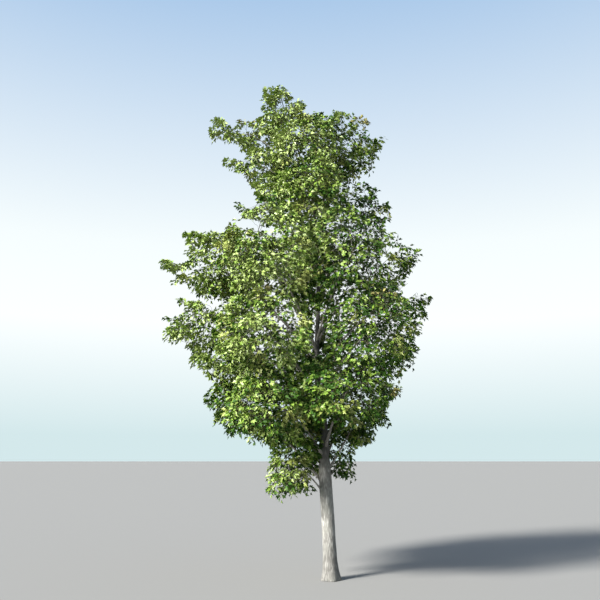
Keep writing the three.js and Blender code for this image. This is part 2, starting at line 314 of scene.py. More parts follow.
@dataclass
class Draft:
    """A mesh in the making: pieces of it are added, and it is turned into an object at the end."""

    points: list[Array] = field(default_factory=list)
    faces: list[Array] = field(default_factory=list)
    finishes: list[Array] = field(default_factory=list)
    count: int = 0

    def add(self, points: Array, faces: Array, finish: int | Array = 0) -> None:
        """Adds points and the triangles between them.

        Args:
            points: Rows of coordinates.
            faces: Rows of three numbers of those points.
            finish: The number of the material on all the faces, or one for each.
        """
        self.points.append(points)
        self.faces.append(faces + self.count)
        self.finishes.append(np.broadcast_to(finish, len(faces)))
        self.count += len(points)

    def make(self, name: str, materials: Sequence[Material]) -> bpy.types.Object:
        """Makes the object.

        Args:
            name: The piece's name.
            materials: Its materials, in the order that the finishes number them.

        Returns:
            The new object, linked to the scene.
        """
        points, faces = np.concatenate(self.points), np.concatenate(self.faces)
        mesh = bpy.data.meshes.new(name)
        mesh.vertices.add(len(points))
        mesh.vertices.foreach_set("co", points.astype(np.float32).ravel())
        mesh.loops.add(faces.size)
        mesh.loops.foreach_set("vertex_index", faces.astype(np.int32).ravel())
        mesh.polygons.add(len(faces))
        mesh.polygons.foreach_set("loop_start", np.arange(0, faces.size, 3, dtype=np.int32))
        mesh.polygons.foreach_set("material_index", np.concatenate(self.finishes).astype(np.int32))
        mesh.polygons.foreach_set("use_smooth", np.ones(len(faces), bool))
        for material in materials:
            mesh.materials.append(material)
        mesh.update(calc_edges=True)
        piece = bpy.data.objects.new(name, mesh)
        bpy.context.scene.collection.objects.link(piece)
        LOG.info("%s: %d triangles", name, len(faces))
        return piece


class Value:
    """A number in a shader. An expression on it adds the Math nodes that work it out."""

    def __init__(self, shader: "Shader", socket: bpy.types.NodeSocket) -> None:
        """Wraps a socket."""
        self.shader = shader
        self.socket = socket

    def joined(self, operation: str, first: Any, second: Any) -> "Value":
        """The result of a Math node on two values."""
        return self.shader.node("ShaderNodeMath", {"operation": operation}, {0: first, 1: second})

    def __add__(self, other: Any) -> "Value":
        """self + other."""
        return self.joined("ADD", self, other)

    __radd__ = __add__

    def __mul__(self, other: Any) -> "Value":
        """self * other."""
        return self.joined("MULTIPLY", self, other)

    __rmul__ = __mul__

    def __sub__(self, other: Any) -> "Value":
        """self - other."""
        return self.joined("SUBTRACT", self, other)

    def __rsub__(self, other: Any) -> "Value":
        """other - self."""
        return self.joined("SUBTRACT", other, self)

    def __abs__(self) -> "Value":
        """The size of self."""
        return self.joined("ABSOLUTE", self, 0.0)


class Shader:
    """The nodes of a material or of the sky, and short ways of adding them."""

    def __init__(self, owner: Material | bpy.types.World) -> None:
        """Starts with the one shader that a new material or sky has.

        Args:
            owner: The material or the sky.
        """
        owner.use_nodes = True
        self.owner = owner
        self.tree = owner.node_tree
        self.surface = next(n for n in self.tree.nodes if n.type in ("BSDF_PRINCIPLED", "BACKGROUND"))

    def node(self, kind: str, settings: dict[str, Any], sockets: dict[Any, Any], result: int = 0) -> Value:
        """Adds a node.

        Args:
            kind: The node's type.
            settings: Its own settings, which are set first. "stops" are a ramp's positions and colours.
            sockets: The value or link of each socket, by its name or number.
            result: Which of its outputs is wanted.

        Returns:
            That output.
        """
        made = self.tree.nodes.new(kind)
        for name, value in settings.items():
            if name != "stops":
                setattr(made, name, value)
        stops = settings.get("stops", ())
        for _ in stops[2:]:
            made.color_ramp.elements.new(1.0)
        for number, (place, colour) in enumerate(stops):
            made.color_ramp.elements[number].position = place
            made.color_ramp.elements[number].color = (*colour, 1.0)
        for key, value in sockets.items():
            self.feed(made.inputs[key], value)
        return Value(self, made.outputs[result])

    def feed(self, socket: bpy.types.NodeSocket, value: Any) -> None:
        """Links a value to a socket, or sets the socket.

        Args:
            socket: The socket.
            value: The value to link, or a number, a vector or a colour.
        """
        if isinstance(value, Value):
            self.tree.links.new(value.socket, socket)
        else:
            socket.default_value = (*value, 1.0) if socket.type == "RGBA" else value

    def noise(self, place: Value, scale: float, detail: float = 3.0) -> Value:
        """Noise at a place, about 0 to 1."""
        return self.node("ShaderNodeTexNoise", {}, {"Vector": place, "Scale": scale, "Detail": detail})

    def ramped(self, value: Value, low: float, high: float, **settings: str) -> Value:
        """A value carried from the range between low and high to that between 0 and 1."""
        return self.node("ShaderNodeMapRange", settings, {0: value, 1: low, 2: high})

    def blend(self, share: Any, one: Any, other: Any) -> Value:
        """Two colours mixed by a share, from 0 for the first to 1 for the other."""
        kind = {"data_type": "RGBA", "clamp_factor": True}
        return self.node("ShaderNodeMix", kind, {0: share, 6: one, 7: other}, result=2)

    def finish(self, **sockets: Any) -> Material | bpy.types.World:
        """Feeds the shader's own sockets.

        Args:
            sockets: What each takes, by its name with _ for each space.

        Returns:
            The finished material or sky.
        """
        for name, value in sockets.items():
            self.feed(self.surface.inputs[name.replace("_", " ")], value)
        return self.owner


@dataclass(frozen=True)
class Bark:
    """Grey bark with upright furrows, paler plates between them and faint green patches."""

    name: str
    plate: Colour
    furrow: Colour
    patch: Colour
    grain: float  # furrows to the metre, across
    stretch: float  # how much longer than wide a plate is
    depth: float  # of the finest relief, in metres
    painted_shade: float = 0.0  # painted shade: how much darker the bark is painted where the crown's shade always falls on it
    painted_shade_heights: Pair = (2.3, 2.8)  # where that begins, and from where it is in full
    foot_darkening: float = 0.0  # how much darker with age the bark is at the foot
    foot_heights: Pair = (1.2, 0.5)  # where that begins, and from where it is in full
    darkest: float = 0.5  # colour of the darkened bark, the painted shade and the darker foot alike, over that of its furrows
    crack_width: float = 0.18  # how far from its middle value the noise is where a furrow ends
    fine_grain: float = 4.5  # how much finer than the furrows the finest relief is
    fine_share: float = 0.25  # of the mix between furrow and plate that follows the finest relief
    patch_grain: float = 3.2  # patches to the metre
    patch_range: Pair = (0.46, 0.72)  # noise at which a patch begins and is in full
    patch_share: float = 0.45  # of the patches' own colour in them
    bump: float = 0.6
    roughness: float = 0.96  # in the furrows
    smoothness: float = 0.14  # how much less rough the plates are

    def material(self) -> Material:
        """Makes the bark's material.

        Returns:
            The material.
        """
        shader = Shader(bpy.data.materials.new(self.name))
        place = shader.node("ShaderNodeTexCoord", {}, {}, result=3)
        squeeze = (1.0, 1.0, 1 / self.stretch)
        upright = shader.node("ShaderNodeVectorMath", {"operation": "MULTIPLY"}, {0: place, 1: squeeze})
        plates = shader.noise(upright, self.grain, 4.0)
        fine = shader.noise(upright, self.grain * self.fine_grain)
        patches = shader.noise(place, self.patch_grain)
        ridge = shader.ramped(abs(plates - 0.5), 0.0, self.crack_width, interpolation_type="SMOOTHSTEP")
        wear = shader.ramped(patches, *self.patch_range)
        mix = ridge * (1 - self.fine_share) + fine * self.fine_share
        colour = shader.blend(mix, self.furrow, self.plate)
        colour = shader.blend(wear * self.patch_share, colour, self.patch)
        height = shader.node("ShaderNodeSeparateXYZ", {}, {0: place}, result=2)
        dark = tuple(self.darkest * part for part in self.furrow)
        # Painted shade high on the trunk, where the crown shades it, and darker bark at the foot
        darkenings = ((self.painted_shade_heights, self.painted_shade), (self.foot_heights, self.foot_darkening))
        for heights, share in darkenings:
            colour = shader.blend(shader.ramped(height, *heights) * share, colour, dark)
        relief = {"Height": ridge + fine * 0.5, "Distance": self.depth, "Strength": self.bump}
        bump = shader.node("ShaderNodeBump", {}, relief)
        roughness = self.roughness - ridge * self.smoothness
        return shader.finish(Base_Color=colour, Roughness=roughness, Normal=bump)


@dataclass(frozen=True)
class Plain:
    """A finish of one colour, satin as a leaf if nothing else is said."""

    name: str
    colour: Colour
    gloss: float
    roughness: float = 0.44

    def material(self) -> Material:
        """Makes the finish's material."""
        shader = Shader(bpy.data.materials.new(self.name))
        return shader.finish(Base_Color=self.colour, Roughness=self.roughness, Specular_IOR_Level=self.gloss)


class Tone(Enum):
    """The finishes of leaves and stalks. A spray has one, and some of its leaves the next to it."""

    # From SUNNY to DEEP the leaf colours run from light to deep: partly the leaves' own tones, partly painted
    # light and shade, as they are dealt out by place
    SUNNY = Plain("leaf_sunny", (0.202, 0.264, 0.072), 0.44)
    FRESH = Plain("leaf_fresh", (0.180, 0.247, 0.058), 0.40)
    MID = Plain("leaf_mid", (0.117, 0.190, 0.024), 0.26)
    DEEP = Plain("leaf_deep", (0.025, 0.064, 0.008), 0.09)
    OLIVE = Plain("leaf_olive", (0.182, 0.218, 0.050), 0.34)
    BRONZE = Plain("leaf_bronze", (0.190, 0.178, 0.056), 0.34)
    STALK = Plain("leaf_stalk", (0.170, 0.130, 0.060), 0.40)


TONES = list(Tone)
# Twigs and shoots are too thin to show a pattern
YOUNG_WOOD = Plain("twig_bark", (0.034, 0.036, 0.021), 0.5, 0.8)
FLOOR = Plain("floor", (0.18, 0.18, 0.174), 0.05, 0.95)

# The share of a mass's sprays that have each tone, from SUNNY to DEEP, by the mass's material slot
TONE_SHARES = {
    "leaf_light": (0.28, 0.40, 0.27, 0.05),
    "leaf_mid": (0.20, 0.34, 0.34, 0.12),
    "leaf_deep": (0.08, 0.24, 0.40, 0.28),
    "leaf_olive": (0.12, 0.30, 0.38, 0.20),
}
# Painted shade: how much likelier each tone is on a spray behind other foliage, which keeps the light off it
SHADE_SHIFT = (0.04, 0.28, 1.15, 4.20)


@dataclass
class BarkRelief:
    """How far bark stands out or in at a point of a limb."""

    depth: float = 0.0055  # of the furrows at the foot of the trunk
    thin_depth: float = 0.0012  # of those on young wood
    grain: float = 0.034  # width of a plate
    stretch: float = 6.0  # its length over its width
    old_height: float = 2.6  # over which the furrows of old bark fade out
    most_depth: float = 0.09  # of furrows, as a share of the limb's radius
    plate_share: float = 0.75  # of the depth that the plates take up
    fine_share: float = 0.3  # of it that the grain takes up
    fine_grain: float = 3.1  # how much finer than the plates the grain is
    swellings: tuple[float, float, float] = (5.0, 5.0, 2.2)  # to the metre, along X, Y and Z
    swell_share: float = 0.035  # their height, as a share of the limb's radius
    coarse: SmoothNoise = SmoothNoise(3)
    fine: SmoothNoise = SmoothNoise(8)
    waves: SmoothNoise = SmoothNoise(21)

    def at(self, points: Array, radii: Array) -> Array:
        """The relief at points on a limb's skin.

        Args:
            points: The points, along their last axis.
            radii: The limb's radius at each of them.

        Returns:
            How far each point is moved outwards.
        """
        squeeze = np.array([1.0, 1.0, 1 / self.stretch]) / self.grain
        plates = 1 - 2 * np.abs(self.coarse.at(points * squeeze))
        grain = self.fine.at(points * squeeze * self.fine_grain)
        swell = self.waves.at(points * np.array(self.swellings))
        age = np.exp(-np.maximum(points[..., 2], 0) / self.old_height)
        depth = self.thin_depth + (self.depth - self.thin_depth) * age
        depth = np.minimum(depth, self.most_depth * radii)
        furrows = depth * (self.plate_share * plates + self.fine_share * grain)
        return furrows + self.swell_share * radii * swell


@dataclass
class Trunk:
    """The trunk, from its root flare up through the crown to the leader's tip."""

    sides: int = 60
    low_spacing: float = 0.013  # between rings, up to the first boughs
    high_spacing: float = 0.035
    low_height: float = 3.4
    levels: int = 90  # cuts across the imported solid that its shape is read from
    harmonics: int = 7  # waves round the trunk that are kept, so that the buttresses stay
    inset: float = 0.004  # of the first and the last cut from the solid's ends
    crowding: float = 1.4  # power that crowds the cuts towards the foot
    collar_height: float = 0.45  # of the bark raised round a bough, in the bough's radii
    collar_reach: float = 1.9  # how far that collar spreads, in the bough's radii
    plain_foot: float = 0.02  # height over which the relief fades out at the ground
    solid: Solid = field(default_factory=lambda: Solid("trunk"))

    def __post_init__(self) -> None:
        """Reads the trunk's middle and its outline at many heights."""
        self.top = self.solid.corners[:, 2].max()
        shares = np.linspace(0, 1, self.levels) ** self.crowding
        self.heights = self.inset + (self.top - 2 * self.inset) * shares
        self.angles = np.linspace(0, 2 * math.pi, self.sides, endpoint=False)
        middles, outlines = [], []
        for height in self.heights:
            level = np.array([0, 0, height])
            middle, _ = self.solid.girth(level, UP)
            outline = self.solid.section(level, UP) - middle
            turns = np.arctan2(outline[:, 1], outline[:, 0])
            order = np.argsort(turns)
            reach = np.hypot(outline[:, 0], outline[:, 1])[order]
            rim = np.interp(self.angles, turns[order], reach, period=2 * math.pi)
            waves = np.fft.rfft(rim)
            waves[self.harmonics :] = 0
            middles.append(middle)
            outlines.append(np.fft.irfft(waves, self.sides))
        self.middles = smoothed(np.array(middles), 3)
        self.outlines = smoothed(np.array(outlines), 1)

    def middle(self, height: float) -> Array:
        """The trunk's middle at a height."""
        across = [np.interp(height, self.heights, self.middles[:, k]) for k in range(2)]
        return np.array([*across, height])

    def radius(self, height: float) -> float:
        """The trunk's mean radius at a height."""
        return float(np.interp(height, self.heights, self.outlines.mean(1)))

    def grid(self) -> Array:
        """The trunk's smooth skin.

        Returns:
            Its points, as [1, ring, side, xyz].
        """
        low = np.arange(0, self.low_height, self.low_spacing)
        levels = np.concatenate([low, np.arange(self.low_height, self.top, self.high_spacing)])
        columns = np.concatenate([self.middles[:, :2], self.outlines], axis=1)
        values = np.stack(
            [np.interp(levels, self.heights, columns[:, k]) for k in range(columns.shape[1])], axis=1
        )
        reach = values[:, 2:]
        grid = np.empty((1, len(levels), self.sides, 3))
        grid[0, :, :, 0] = values[:, :1] + reach * np.cos(self.angles)
        grid[0, :, :, 1] = values[:, 1:2] + reach * np.sin(self.angles)
        grid[0, :, :, 2] = levels[:, None]
        return grid

    def build(self, relief: BarkRelief, forks: Sequence["Limb"], bark: Material) -> None:
        """Makes the trunk's bark, with a collar round each bough.

        Args:
            relief: The bark's relief.
            forks: The limbs that leave the trunk.
            bark: The bark's material.
        """
        grid = self.grid()
        middles = grid.mean(axis=2, keepdims=True)
        outward = grid - middles
        radii = lengths(outward)
        swell = relief.at(grid, radii)
        for limb in forks:
            away = lengths(grid - limb.collar)
            nearness = np.exp(-((away / (self.collar_reach * limb.foot_radius)) ** 2))
            swell += self.collar_height * limb.foot_radius * nearness
        off_ground = np.clip(grid[..., 2] / self.plain_foot, 0, 1)
        grid = grid + outward / radii[..., None] * (swell * off_ground)[..., None]
        draft = Draft()
        draft.add(*skin(grid, closed_foot=True))
        piece = draft.make("trunk_bark", [bark])
        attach(piece, BODY)
        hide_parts("trunk")


@dataclass
class Limb:
    """A bough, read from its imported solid, and carried on to the heart of the mass that it feeds."""

    name: str
    trunk: Trunk
    heart: Array
    sides: int = 16
    spacing: float = 0.03  # between rings
    stations: int = 9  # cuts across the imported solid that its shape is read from
    inner_nodes: int = 9  # points inside the mass that branches can leave from
    tip_share: float = 0.34  # radius at the heart over that where the bough meets its mass
    ends: Pair = (0.08, 0.92)  # shares of the solid's length that it is cut between
    end_corners: int = 6  # corners that mark each end of the solid
    least_run: float = 0.3  # least level part of the direction that carries the foot to the trunk
    on_axis: float = 0.75  # how far the root is moved from the limb's own line onto the trunk's
    onward_share: float = 0.45  # of the way to the heart over which the limb keeps its direction
    root_width: float = 1.12  # radius inside the trunk over that outside it
    collar_height: float = 0.35  # how much thicker the limb is at the trunk
    collar_reach: float = 3.2  # how far along that thickening goes, in foot radii

    def __post_init__(self) -> None:
        """Reads the bough's middle line and radii, and carries them on to the heart."""
        solid = Solid(f"bough_{self.name}")
        axis = np.array([self.trunk.middle(z) for z in solid.corners[:, 2]])
        order = np.argsort(lengths(solid.corners - axis))
        inner = solid.corners[order[: self.end_corners]].mean(0)
        outer = solid.corners[order[-self.end_corners :]].mean(0)
        normal = unit(outer - inner)
        cuts = [
            solid.girth(inner + (outer - inner) * share, normal)
            for share in np.linspace(*self.ends, self.stations)
        ]
        middles = smoothed(np.array([middle for middle, _ in cuts]), 1)
        radii = smoothed(np.array([radius for _, radius in cuts]), 2)
        first = unit(middles[0] - middles[1])
        axis_gap = np.linalg.norm((middles[0] - self.trunk.middle(middles[0][2]))[:2])
        onto_axis = middles[0] + first * axis_gap / max(np.linalg.norm(first[:2]), self.least_run)
        root = self.on_axis * self.trunk.middle(onto_axis[2]) + (1 - self.on_axis) * onto_axis
        skin_share = min(self.trunk.radius(root[2]) / max(axis_gap, 1e-3), 1.0)
        self.collar = root + (middles[0] - root) * skin_share
        self.foot_radius = float(radii[0])
        last = unit(middles[-1] - middles[-2])
        span = np.linalg.norm(self.heart - middles[-1])
        shares = np.linspace(0, 1, self.inner_nodes + 1)[1:]
        bend = middles[-1] + last * span * self.onward_share
        self.inner = bezier(middles[-1], bend, self.heart, shares)
        self.inner_radii = radii[-1] * (1 - (1 - self.tip_share) * shares)
        self.path = np.concatenate([[root], middles, self.inner])
        self.radii = np.concatenate([[radii[0] * self.root_width], radii, self.inner_radii])

    def build(self, relief: BarkRelief, bark: Material) -> None:
        """Makes the limb's bark.

        Args:
            relief: The bark's relief.
            bark: The bark's material.
        """
        path, radii = resample(self.path, self.radii, self.spacing)
        travel = lengths(path - path[0])
        nearness = np.exp(-((travel / (self.collar_reach * self.foot_radius)) ** 2))
        radii = radii * (1 + self.collar_height * nearness)
        grid = ring_grid(path[None], radii[None], self.sides)
        outward = grid - path[None, :, None, :]
        reach = lengths(outward)
        grid = grid + outward / reach[..., None] * relief.at(grid, reach)[..., None]
        draft = Draft()
        draft.add(*skin(grid, closed_foot=True))
        piece = draft.make(f"limb_{self.name}", [bark])
        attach(piece, BODY)
        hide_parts(f"bough_{self.name}")


@dataclass
class Branching:
    """The wood inside one mass: chains of nodes, each ending where a spray of leaves sits."""

    places: Array  # the limb's or leader's own nodes, which the first branches leave from
    caps: Array  # the radius of the wood at each of them
    rng: Random
    links: int = 6  # nodes in each chain
    turn_cost: float = 0.55  # how much a branch avoids leaving backwards
    travel_cost: float = 0.22  # how much it avoids leaving far out
    reach: float = 0.42  # how long it keeps its first direction, as a share of its length
    aiming: float = 0.8  # how much that direction leans to where the branch ends
    rising: float = 0.25  # how much it leans upwards
    wander: float = 0.022  # how far nodes stray, as a share of the branch's length
    foot_share: float = 0.9  # most of its parent's radius that a branch's foot has
    foot_swell: float = 1.25  # most that the foot is thicker than the branch's first node
    end_radius: float = 0.0034
    thickening: float = 0.43  # power of the sprays carried that a radius grows with

    def grow(self, targets: Array) -> None:
        """Grows a chain to each target from the node that suits it best, the nearest targets first.

        Args:
            targets: Where the sprays sit.
        """
        starts = len(self.places)
        size = starts + self.links * len(targets)
        self.nodes = np.zeros((size, 3))
        self.nodes[:starts] = self.places
        self.ways = np.zeros((size, 3))
        self.ways[:starts] = unit(np.gradient(self.places, axis=0))
        travel = np.zeros(size)
        self.parents = np.full(size, -1)
        near = lengths(targets[:, None] - self.places[None]).min(1)
        count = starts
        for target in targets[np.argsort(near)]:
            gap = target - self.nodes[:count]
            far = lengths(gap)
            turn = 1 - np.sum(gap * self.ways[:count], axis=1) / np.maximum(far, 1e-6)
            best = int(np.argmin(far * (1 + self.turn_cost * turn) + self.travel_cost * travel[:count]))
            chain = self.chain(self.nodes[best], self.ways[best], target)
            steps = lengths(np.diff(np.vstack([self.nodes[best], chain]), axis=0))
            new = slice(count, count + self.links)
            self.nodes[new] = chain
            self.ways[new] = unit(np.gradient(np.vstack([self.nodes[best], chain]), axis=0))[1:]
            travel[new] = travel[best] + np.cumsum(steps)
            self.parents[new] = [best, *range(count, count + self.links - 1)]
            count += self.links
        self.starts = starts
        self.load()

    def chain(self, start: Array, way: Array, target: Array) -> Array:
        """Nodes along one branch, which leaves with its parent's direction and rises a little.

        Args:
            start: Where the branch leaves.
            way: The parent's direction there.
            target: Where the branch ends.

        Returns:
            The branch's nodes, without its start.
        """
        span = np.linalg.norm(target - start)
        lean = unit(way + self.aiming * unit(target - start) + self.rising * UP)
        bend = start + lean * span * self.reach
        nodes = bezier(start, bend, target, np.linspace(0, 1, self.links + 1)[1:])
        nodes[:-1] += self.rng.normal(0, self.wander * span, (self.links - 1, 3))
        return nodes

    def load(self) -> None:
        """Works out each node's radius from the number of sprays that it carries."""
        carried = self.carried(np.ones(self.lasts.shape))
        self.radii = self.end_radius * np.maximum(carried, 1) ** self.thickening
        self.radii[: self.starts] = self.caps

    @property
    def lasts(self) -> Array:
        """The numbers of the chains' last nodes."""
        return np.arange(self.starts + self.links - 1, len(self.nodes), self.links)

    def carried(self, ends: Array) -> Array:
        """Adds up what each node carries.

        Args:
            ends: What sits at the end of each chain.

        Returns:
            What all the ends that a node leads to add up to, for each node.
        """
        carried = np.zeros(len(self.nodes))
        carried[self.lasts] = ends
        for node in range(len(self.nodes) - 1, self.starts - 1, -1):
            carried[self.parents[node]] += carried[node]
        return carried

    def tubes(self, leafy: Array) -> tuple[Array, Array]:
        """The paths of the chains that carry leaves, each from its parent onwards, and their radii.

        Args:
            leafy: Which chains have leaves at their own end.

        Returns:
            The paths, as [chain, node, xyz], and the radii along them.
        """
        heads = np.arange(self.starts, len(self.nodes), self.links)
        heads = heads[self.carried(leafy)[self.lasts] > 0]
        chains = heads[:, None] + np.arange(self.links)
        roots = self.parents[heads]
        paths = np.concatenate([self.nodes[roots][:, None], self.nodes[chains]], axis=1)
        radii = self.radii[chains]
        foot = np.minimum(self.radii[roots] * self.foot_share, radii[:, 0] * self.foot_swell)
        radii = np.minimum(radii, foot[:, None])
        return paths, np.concatenate([foot[:, None], radii], axis=1)


@dataclass(frozen=True)
class Place:
    """A place in the crown as seen from the front, in metres on the trunk's own plane."""

    x: float
    z: float
    half_width: float
    half_height: float
    share: float = 1.0  # how much of what a place stands for it gets


def places_at(*rows: tuple[float, ...]) -> tuple[Place, ...]:
    """Places, each from a row of its x, z, half width, half height and share."""
    return tuple(Place(*row) for row in rows)


@dataclass
class LeafShape:
    """One lobed leaf, a blade of five lobes on a long stalk."""

    # The right half of the blade's outline as [across, along, lift], from base to tip, for a length of one
    half: tuple[tuple[float, float, float], ...] = (
        (0.25, 0.02, 0.09),
        (0.19, 0.27, 0.10),
        (0.38, 0.55, 0.17),
        (0.14, 0.62, 0.06),
    )
    tip: tuple[float, float, float] = (0.0, 1.0, -0.14)
    stalk_width: float = 0.0028

    def template(self) -> tuple[Array, Array]:
        """The blade, one long and folded along its middle.

        Returns:
            Its points and its triangles.
        """
        left = [(-x, y, z) for x, y, z in self.half]
        points = np.array([(0.0, 0.0, 0.0), self.tip, *self.half, *left])
        count = len(left)
        first, second = np.arange(2, count + 2), np.arange(count + 2, 2 * count + 2)
        fans = []
        for side, flip in ((first, False), (second, True)):
            hinge = side[1]
            rows = [[0, side[0], hinge], [hinge, side[2], side[3]], [0, hinge, side[3]], [0, side[3], 1]]
            fans += [row[::-1] for row in rows] if flip else rows
        return points, np.array(fans)


@dataclass
class Sprays:
    """Rules for a spray: how its shoots fan out, and how leaves sit on them."""

    shoots: tuple[int, int] = (3, 4)  # fewest and most on a spray
    length: Pair = (0.20, 0.42)  # least and most of a shoot
    outward: float = 0.9  # how much a spray leans away from the middle of its mass
    upward: float = 0.12  # how much it leans up
    fan: float = 1.25  # half the angle that the shoots spread over, in radians
    stray: float = 0.16  # how far shoots stray from their places in that fan
    tilt: float = 0.32  # how far shoots stray up or down from that fan
    set_back: float = 0.7  # how far back the outer shoots start, in steps of the branch
    side_length: Pair = (1.1, 0.25)  # share of its length that a middle shoot has, and loss per radian
    shortest: float = 0.07
    inset: float = 0.03  # how far inside the solid the shoots end that would leave it
    outlook: float = 0.1  # how far past its end a shoot looks for the solid's face
    arch: Pair = (0.22, 0.40)  # rise and sag of a shoot, as shares of its length
    shoot_radius: float = 0.0027
    loose_share: float = 0.22  # of shoots that stand out past the mass's solid
    loose_reach: Pair = (0.04, 0.15)  # how far past it those go
    stray_length: float = 0.15  # longest shoot on a spray that lies outside the solid
    strayed_leaves: float = 0.58  # share of leaves that are a tone lighter or deeper than their spray
    links: int = 3  # points along a shoot
    pairs: tuple[float, ...] = (0.20, 0.38, 0.55, 0.71, 0.86, 1.0)  # where pairs of leaves sit on a shoot
    leaf_length: Pair = (0.082, 0.126)  # least and most of a blade
    stalk_length: Pair = (0.045, 0.085)
    turns: Pair = (0.2, 1.3)  # how far round the shoot pairs sit by turns, in radians
    turn_stray: float = 0.25  # how far they stray from that
    ahead: float = 0.70  # how much stalks lean along the shoot
    ahead_at_tip: float = 1.30  # how much those at its tip do
    stalk_stray: float = 0.22
    stalk_rise: float = 0.15  # how much stalks lean up
    stalk_sag: float = 0.28  # how far a stalk's end sinks, as a share of its length
    rise_kept: float = 0.35  # share of its stalk's slope that a blade keeps
    droop: Pair = (0.0, 0.60)  # downwards for each part outwards that blades point
    facing: tuple[float, float, float] = (0.62, 0.80, 0.25)  # how much blades face up, out and ahead
    facing_stray: float = 0.38
    breadth: Pair = (0.9, 1.12)  # of blades, over that of the shape
    curl: Pair = (0.3, 1.9)  # of their folds, over those of the shape
    missing: float = 0.08  # share of leaves that are left out
    leaf: LeafShape = field(default_factory=LeafShape)

    def shoots_from(self, mass: "Mass", ends: Array, ways: Array, roots: Array) -> tuple[Array, Array]:
        """Fans shoots out from the end of each branch.

        Args:
            mass: The mass, whose solid most shoots stay inside.
            ends: Where the branches end.
            ways: Their directions there.
            roots: The last node before each end.

        Returns:
            The shoots' paths, as [shoot, node, xyz], and the number of the spray that each is on.
        """
        paths, owners = [], []
        rng = mass.rng
        for spray, (end, way, root) in enumerate(zip(ends, ways, roots)):
            out = unit(end - mass.solid.middle)
            inside = mass.depth(end) > 0
            forward = unit(way + self.outward * out + self.upward * UP)
            side = unit(np.cross(forward, UP) + 1e-6)
            over = np.cross(side, forward)
            count = int(rng.integers(self.shoots[0], self.shoots[1] + 1))
            for k in range(count):
                turn = self.fan * (2 * (k + 0.5) / count - 1) + rng.normal(0, self.stray)
                tilt = rng.normal(0, self.tilt)
                aim = unit(forward * math.cos(turn) + side * math.sin(turn) + over * math.tan(tilt))
                start = end + (root - end) * rng.uniform(0, self.set_back) * (abs(turn) / self.fan)
                length = rng.uniform(*self.length) * (self.side_length[0] - self.side_length[1] * abs(turn))
                past = rng.uniform(*self.loose_reach) if rng.random() < self.loose_share else -self.inset
                hit = mass.shell.ray_cast(Vector(start), Vector(aim), length + self.outlook)[3]
                if not inside:
                    length = min(length, self.stray_length)
                elif hit is not None:
                    length = max(self.shortest, min(length, hit + past))
                t = np.linspace(0, 1, self.links)[:, None]
                lift = UP * length * (self.arch[0] * t - self.arch[1] * t**2)
                paths.append(start + aim * length * t + lift)
                owners.append(spray)
        return np.array(paths), np.array(owners)

    def leaves_on(self, paths: Array, owners: Array, tones: Array, rng: Random) -> dict[str, Array]:
        """Sets pairs of leaves along shoots.

        Args:
            paths: The shoots' paths.
            owners: The spray that each shoot is on.
            tones: The number of each spray's tone.
            rng: The source of chance.

        Returns:
            For each leaf, where its stalk starts and ends, its blade's direction and normal, its length,
            its tone and the number of its shoot.
        """
        last = paths.shape[1] - 1
        shoot = unit(paths[:, -1] - paths[:, 0])
        side = unit(np.cross(shoot, UP) + 1e-6)
        over = np.cross(side, shoot)
        keys = ("node", "base", "way", "face", "size", "tone", "shoot")
        found: dict[str, list[Array]] = {key: [] for key in keys}
        for number, share in enumerate(self.pairs):
            step = min(int(share * last), last - 1)
            node = paths[:, step] + (paths[:, step + 1] - paths[:, step]) * (share * last - step)
            swing = self.turns[number % 2] + rng.normal(0, self.turn_stray, (len(paths), 1))
            arm = np.cos(swing) * side + np.sin(swing) * over
            for sign in (-1, 1):
                count = len(paths)
                ahead = self.ahead_at_tip if share == 1.0 else self.ahead
                stray = rng.normal(0, self.stalk_stray, (count, 3))
                reach = unit(arm * sign + ahead * shoot + stray + self.stalk_rise * UP)
                stalk = rng.uniform(*self.stalk_length, (count, 1))
                base = node + reach * stalk - UP * stalk * self.stalk_sag
                droop = rng.uniform(*self.droop, (count, 1))
                way = unit(reach * np.array([1.0, 1.0, self.rise_kept]) - UP * droop)
                stray = rng.normal(0, self.facing_stray, (count, 3))
                up, out, along = self.facing
                face = up * UP + out * unit(node * LEVEL) + along * reach + stray
                face = unit(face - dot(face, way) * way)
                kept = rng.random(count) > self.missing
                tone = self.strayed(tones[owners], rng)
                size = rng.uniform(*self.leaf_length, (count, 1))
                values = (node, base, way, face, size, tone, np.arange(count))
                for key, value in zip(found, values):
                    found[key].append(value[kept])
        return {key: np.concatenate(value) for key, value in found.items()}

    def strayed(self, tones: Array, rng: Random) -> Array:
        """Makes some leaves a tone lighter or deeper.

        Args:
            tones: The number of each leaf's tone.
            rng: The source of chance.

        Returns:
            The new numbers. Olive and bronze leaves keep theirs.
        """
        step = np.where(rng.random(len(tones)) < 0.5, -1, 1) * (rng.random(len(tones)) < self.strayed_leaves)
        deepest = len(SHADE_SHIFT) - 1
        return np.where(tones <= deepest, np.clip(tones + step, 0, deepest), tones)

